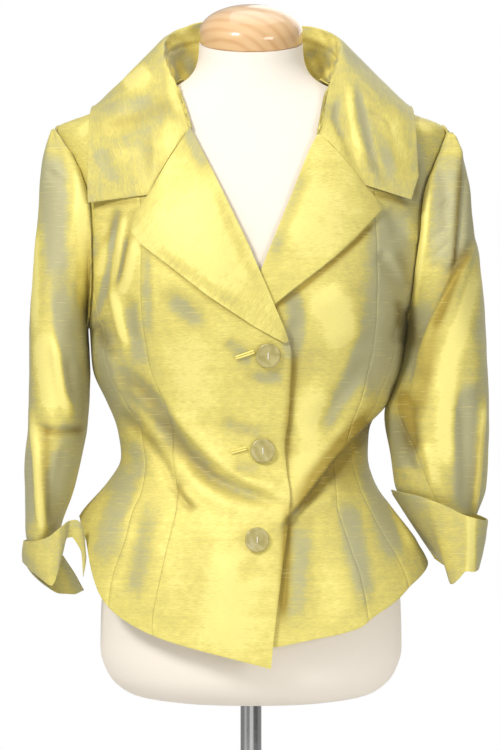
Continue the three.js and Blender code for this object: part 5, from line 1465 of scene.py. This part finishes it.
capProfile += [(wide * math.cos(a), wall + form["capHigh"] * math.sin(a))
               for a in np.linspace(0.06, math.pi / 2, 22)[:-1]]
capPlace = (Matrix.Translation((0, 0, (form["top"] + form["capGap"]) * mm))
            @ Matrix.Rotation(math.atan(form["tilt"]), 4, "X"))
turnedPiece("neck_cap", capProfile + [(0, wall + form["capHigh"])], honeyWood(), 96, capPlace)
chromeLook = chrome()
poleTop = form["foot"] - form["joint"]
poleProfile = [(0, 42.3), (10.6, 42.3), (11, 42.7), (11, poleTop - 0.4), (10.6, poleTop), (0, poleTop)]
turnedPiece("pole", poleProfile, chromeLook, 64)
footProfile = [
    (0, 0), (148, 0), (149.4, 0.6), (150, 2), (150, 6.6), (149.6, 7.8), (148.6, 9.0), (146, 10), (120, 11.2),
    (90, 12.4), (60, 13.7), (34, 15), (28, 16.2), (22, 19), (19.4, 22.4), (18, 26), (18, 41), (17.6, 41.7),
    (16.8, 42), (0, 42),
]
turnedPiece("base", footProfile, chromeLook, 160)
print("dress form made")

# How each cloth piece is held, and what it rests on.
sheets = {
    "front_centre_right": ("draped", ["form_torso"]), "front_centre_left": ("draped", ["form_torso"]),
    "front_side_right": ("draped", ["form_torso"]), "front_side_left": ("draped", ["form_torso"]),
    "underarm_right": ("draped", ["form_torso"]), "underarm_left": ("draped", ["form_torso"]),
    "back_right": ("draped", ["form_torso"]), "back_left": ("draped", ["form_torso"]),
    "lapel_right": ("folded", ["front_centre_right"]), "lapel_left": ("folded", ["front_centre_left"]),
    "collar": ("folded", ["back_right"]),
    "sleeve_upper_right": ("hung", []), "sleeve_upper_left": ("hung", []),
    "sleeve_under_right": ("hung", []), "sleeve_under_left": ("hung", []),
    "cuff_right": ("folded", []), "cuff_left": ("folded", []),
}
for name, (held, rests) in sheets.items():
    piece, width, length, area = pieces[name]
    print("cut %s %.3f x %.3f m, %.4f m2" % (name, width, length, area))

# The room: a pale floor, four soft lights, bright air that has darker sides, and the camera.
room = {
    "floor": 1.1, "aim": (0, 0, 0.6), "air": 0.80, "roof": 0.35, "tint": (1.0, 0.985, 0.96, 1),
    "lights": {"key": ((-1.25, -1.9, 1.95), 39, 0.55), "fill": ((1.7, -2.1, 0.72), 18, 0.9),
               "top": ((0.1, 0.3, 2.3), 6, 1.2), "back": ((1.2, 2.6, 1.9), 20, 2.4)},
    "walls": [(0.0, 0.45), (0.09, 0.32), (0.275, 0.32), (0.30, 0.62), (0.35, 0.62), (0.375, 0.34), (0.45,
              0.34),
              (0.475, 0.85), (0.545, 0.85), (0.585, 0.26), (0.60, 0.14), (0.705, 0.14), (0.73, 0.28),
              (0.86, 0.34), (0.94, 0.60), (1.0, 0.45)],
}
bm = bmesh.new()
bmesh.ops.create_circle(bm, cap_ends=True, cap_tris=False, radius=room["floor"], segments=128)
p = Paint("pale floor")
grain = p.noise(p.place(), 40.0, 3.0)
floorTone = p.blend(grain, (0.84, 0.84, 0.84, 1), (0.87, 0.87, 0.87, 1))
floorLook = p.finish({"Base Color": floorTone, "Roughness": grain * 0.1 + 0.7})
objectOf("floor", meshOf(bm, "floor"), floorLook, False)
for name, (place, power, size) in room["lights"].items():
    light = bpy.data.lights.new(name, "AREA")
    light.energy = power
    light.size = size
    lamp = bpy.data.objects.new(name, light)
    lamp.location = place
    lamp.rotation_euler = (Vector(room["aim"]) - Vector(place)).to_track_quat("-Z", "Y").to_euler()
    bpy.context.collection.objects.link(lamp)
world = bpy.data.worlds.new("studio")
bpy.context.scene.world = world
p = Paint("studio", world)
way = p.add("ShaderNodeTexCoord")
parts = p.node("ShaderNodeSeparateXYZ", {}, {0: way})
east, north, high = (Wire(p, parts.outputs[i]) for i in range(3))
round360 = east.math("ARCTAN2", east, north * -1.0) / (2 * math.pi) + 0.5
strength = (p.ramp(round360, *room["walls"]) + high.held() * room["roof"]) * room["air"]
air = p.add("ShaderNodeBackground", {}, {"Color": room["tint"], "Strength": strength})
white = p.add("ShaderNodeBackground", {}, {"Color": (1, 1, 1, 1)})
seen = p.add("ShaderNodeLightPath")
p.node("ShaderNodeOutputWorld", {}, {"Surface": p.add("ShaderNodeMixShader", {}, {0: seen, 1: air, 2: white})})

view = {"place": (-0.00105, -3.0, 0.5563), "sensor": 36, "lens": 36 * 3000 / 787.5}
camera = bpy.data.cameras.new("camera")
camera.lens = view["lens"]
camera.sensor_width = view["sensor"]
cameraObject = bpy.data.objects.new("camera", camera)
cameraObject.location = view["place"]
cameraObject.rotation_euler = (math.radians(90), 0, 0)
bpy.context.collection.objects.link(cameraObject)
bpy.context.scene.camera = cameraObject
bpy.context.scene.view_settings.view_transform = "Standard"
bpy.context.scene.view_settings.look = "None"
print("studio made")
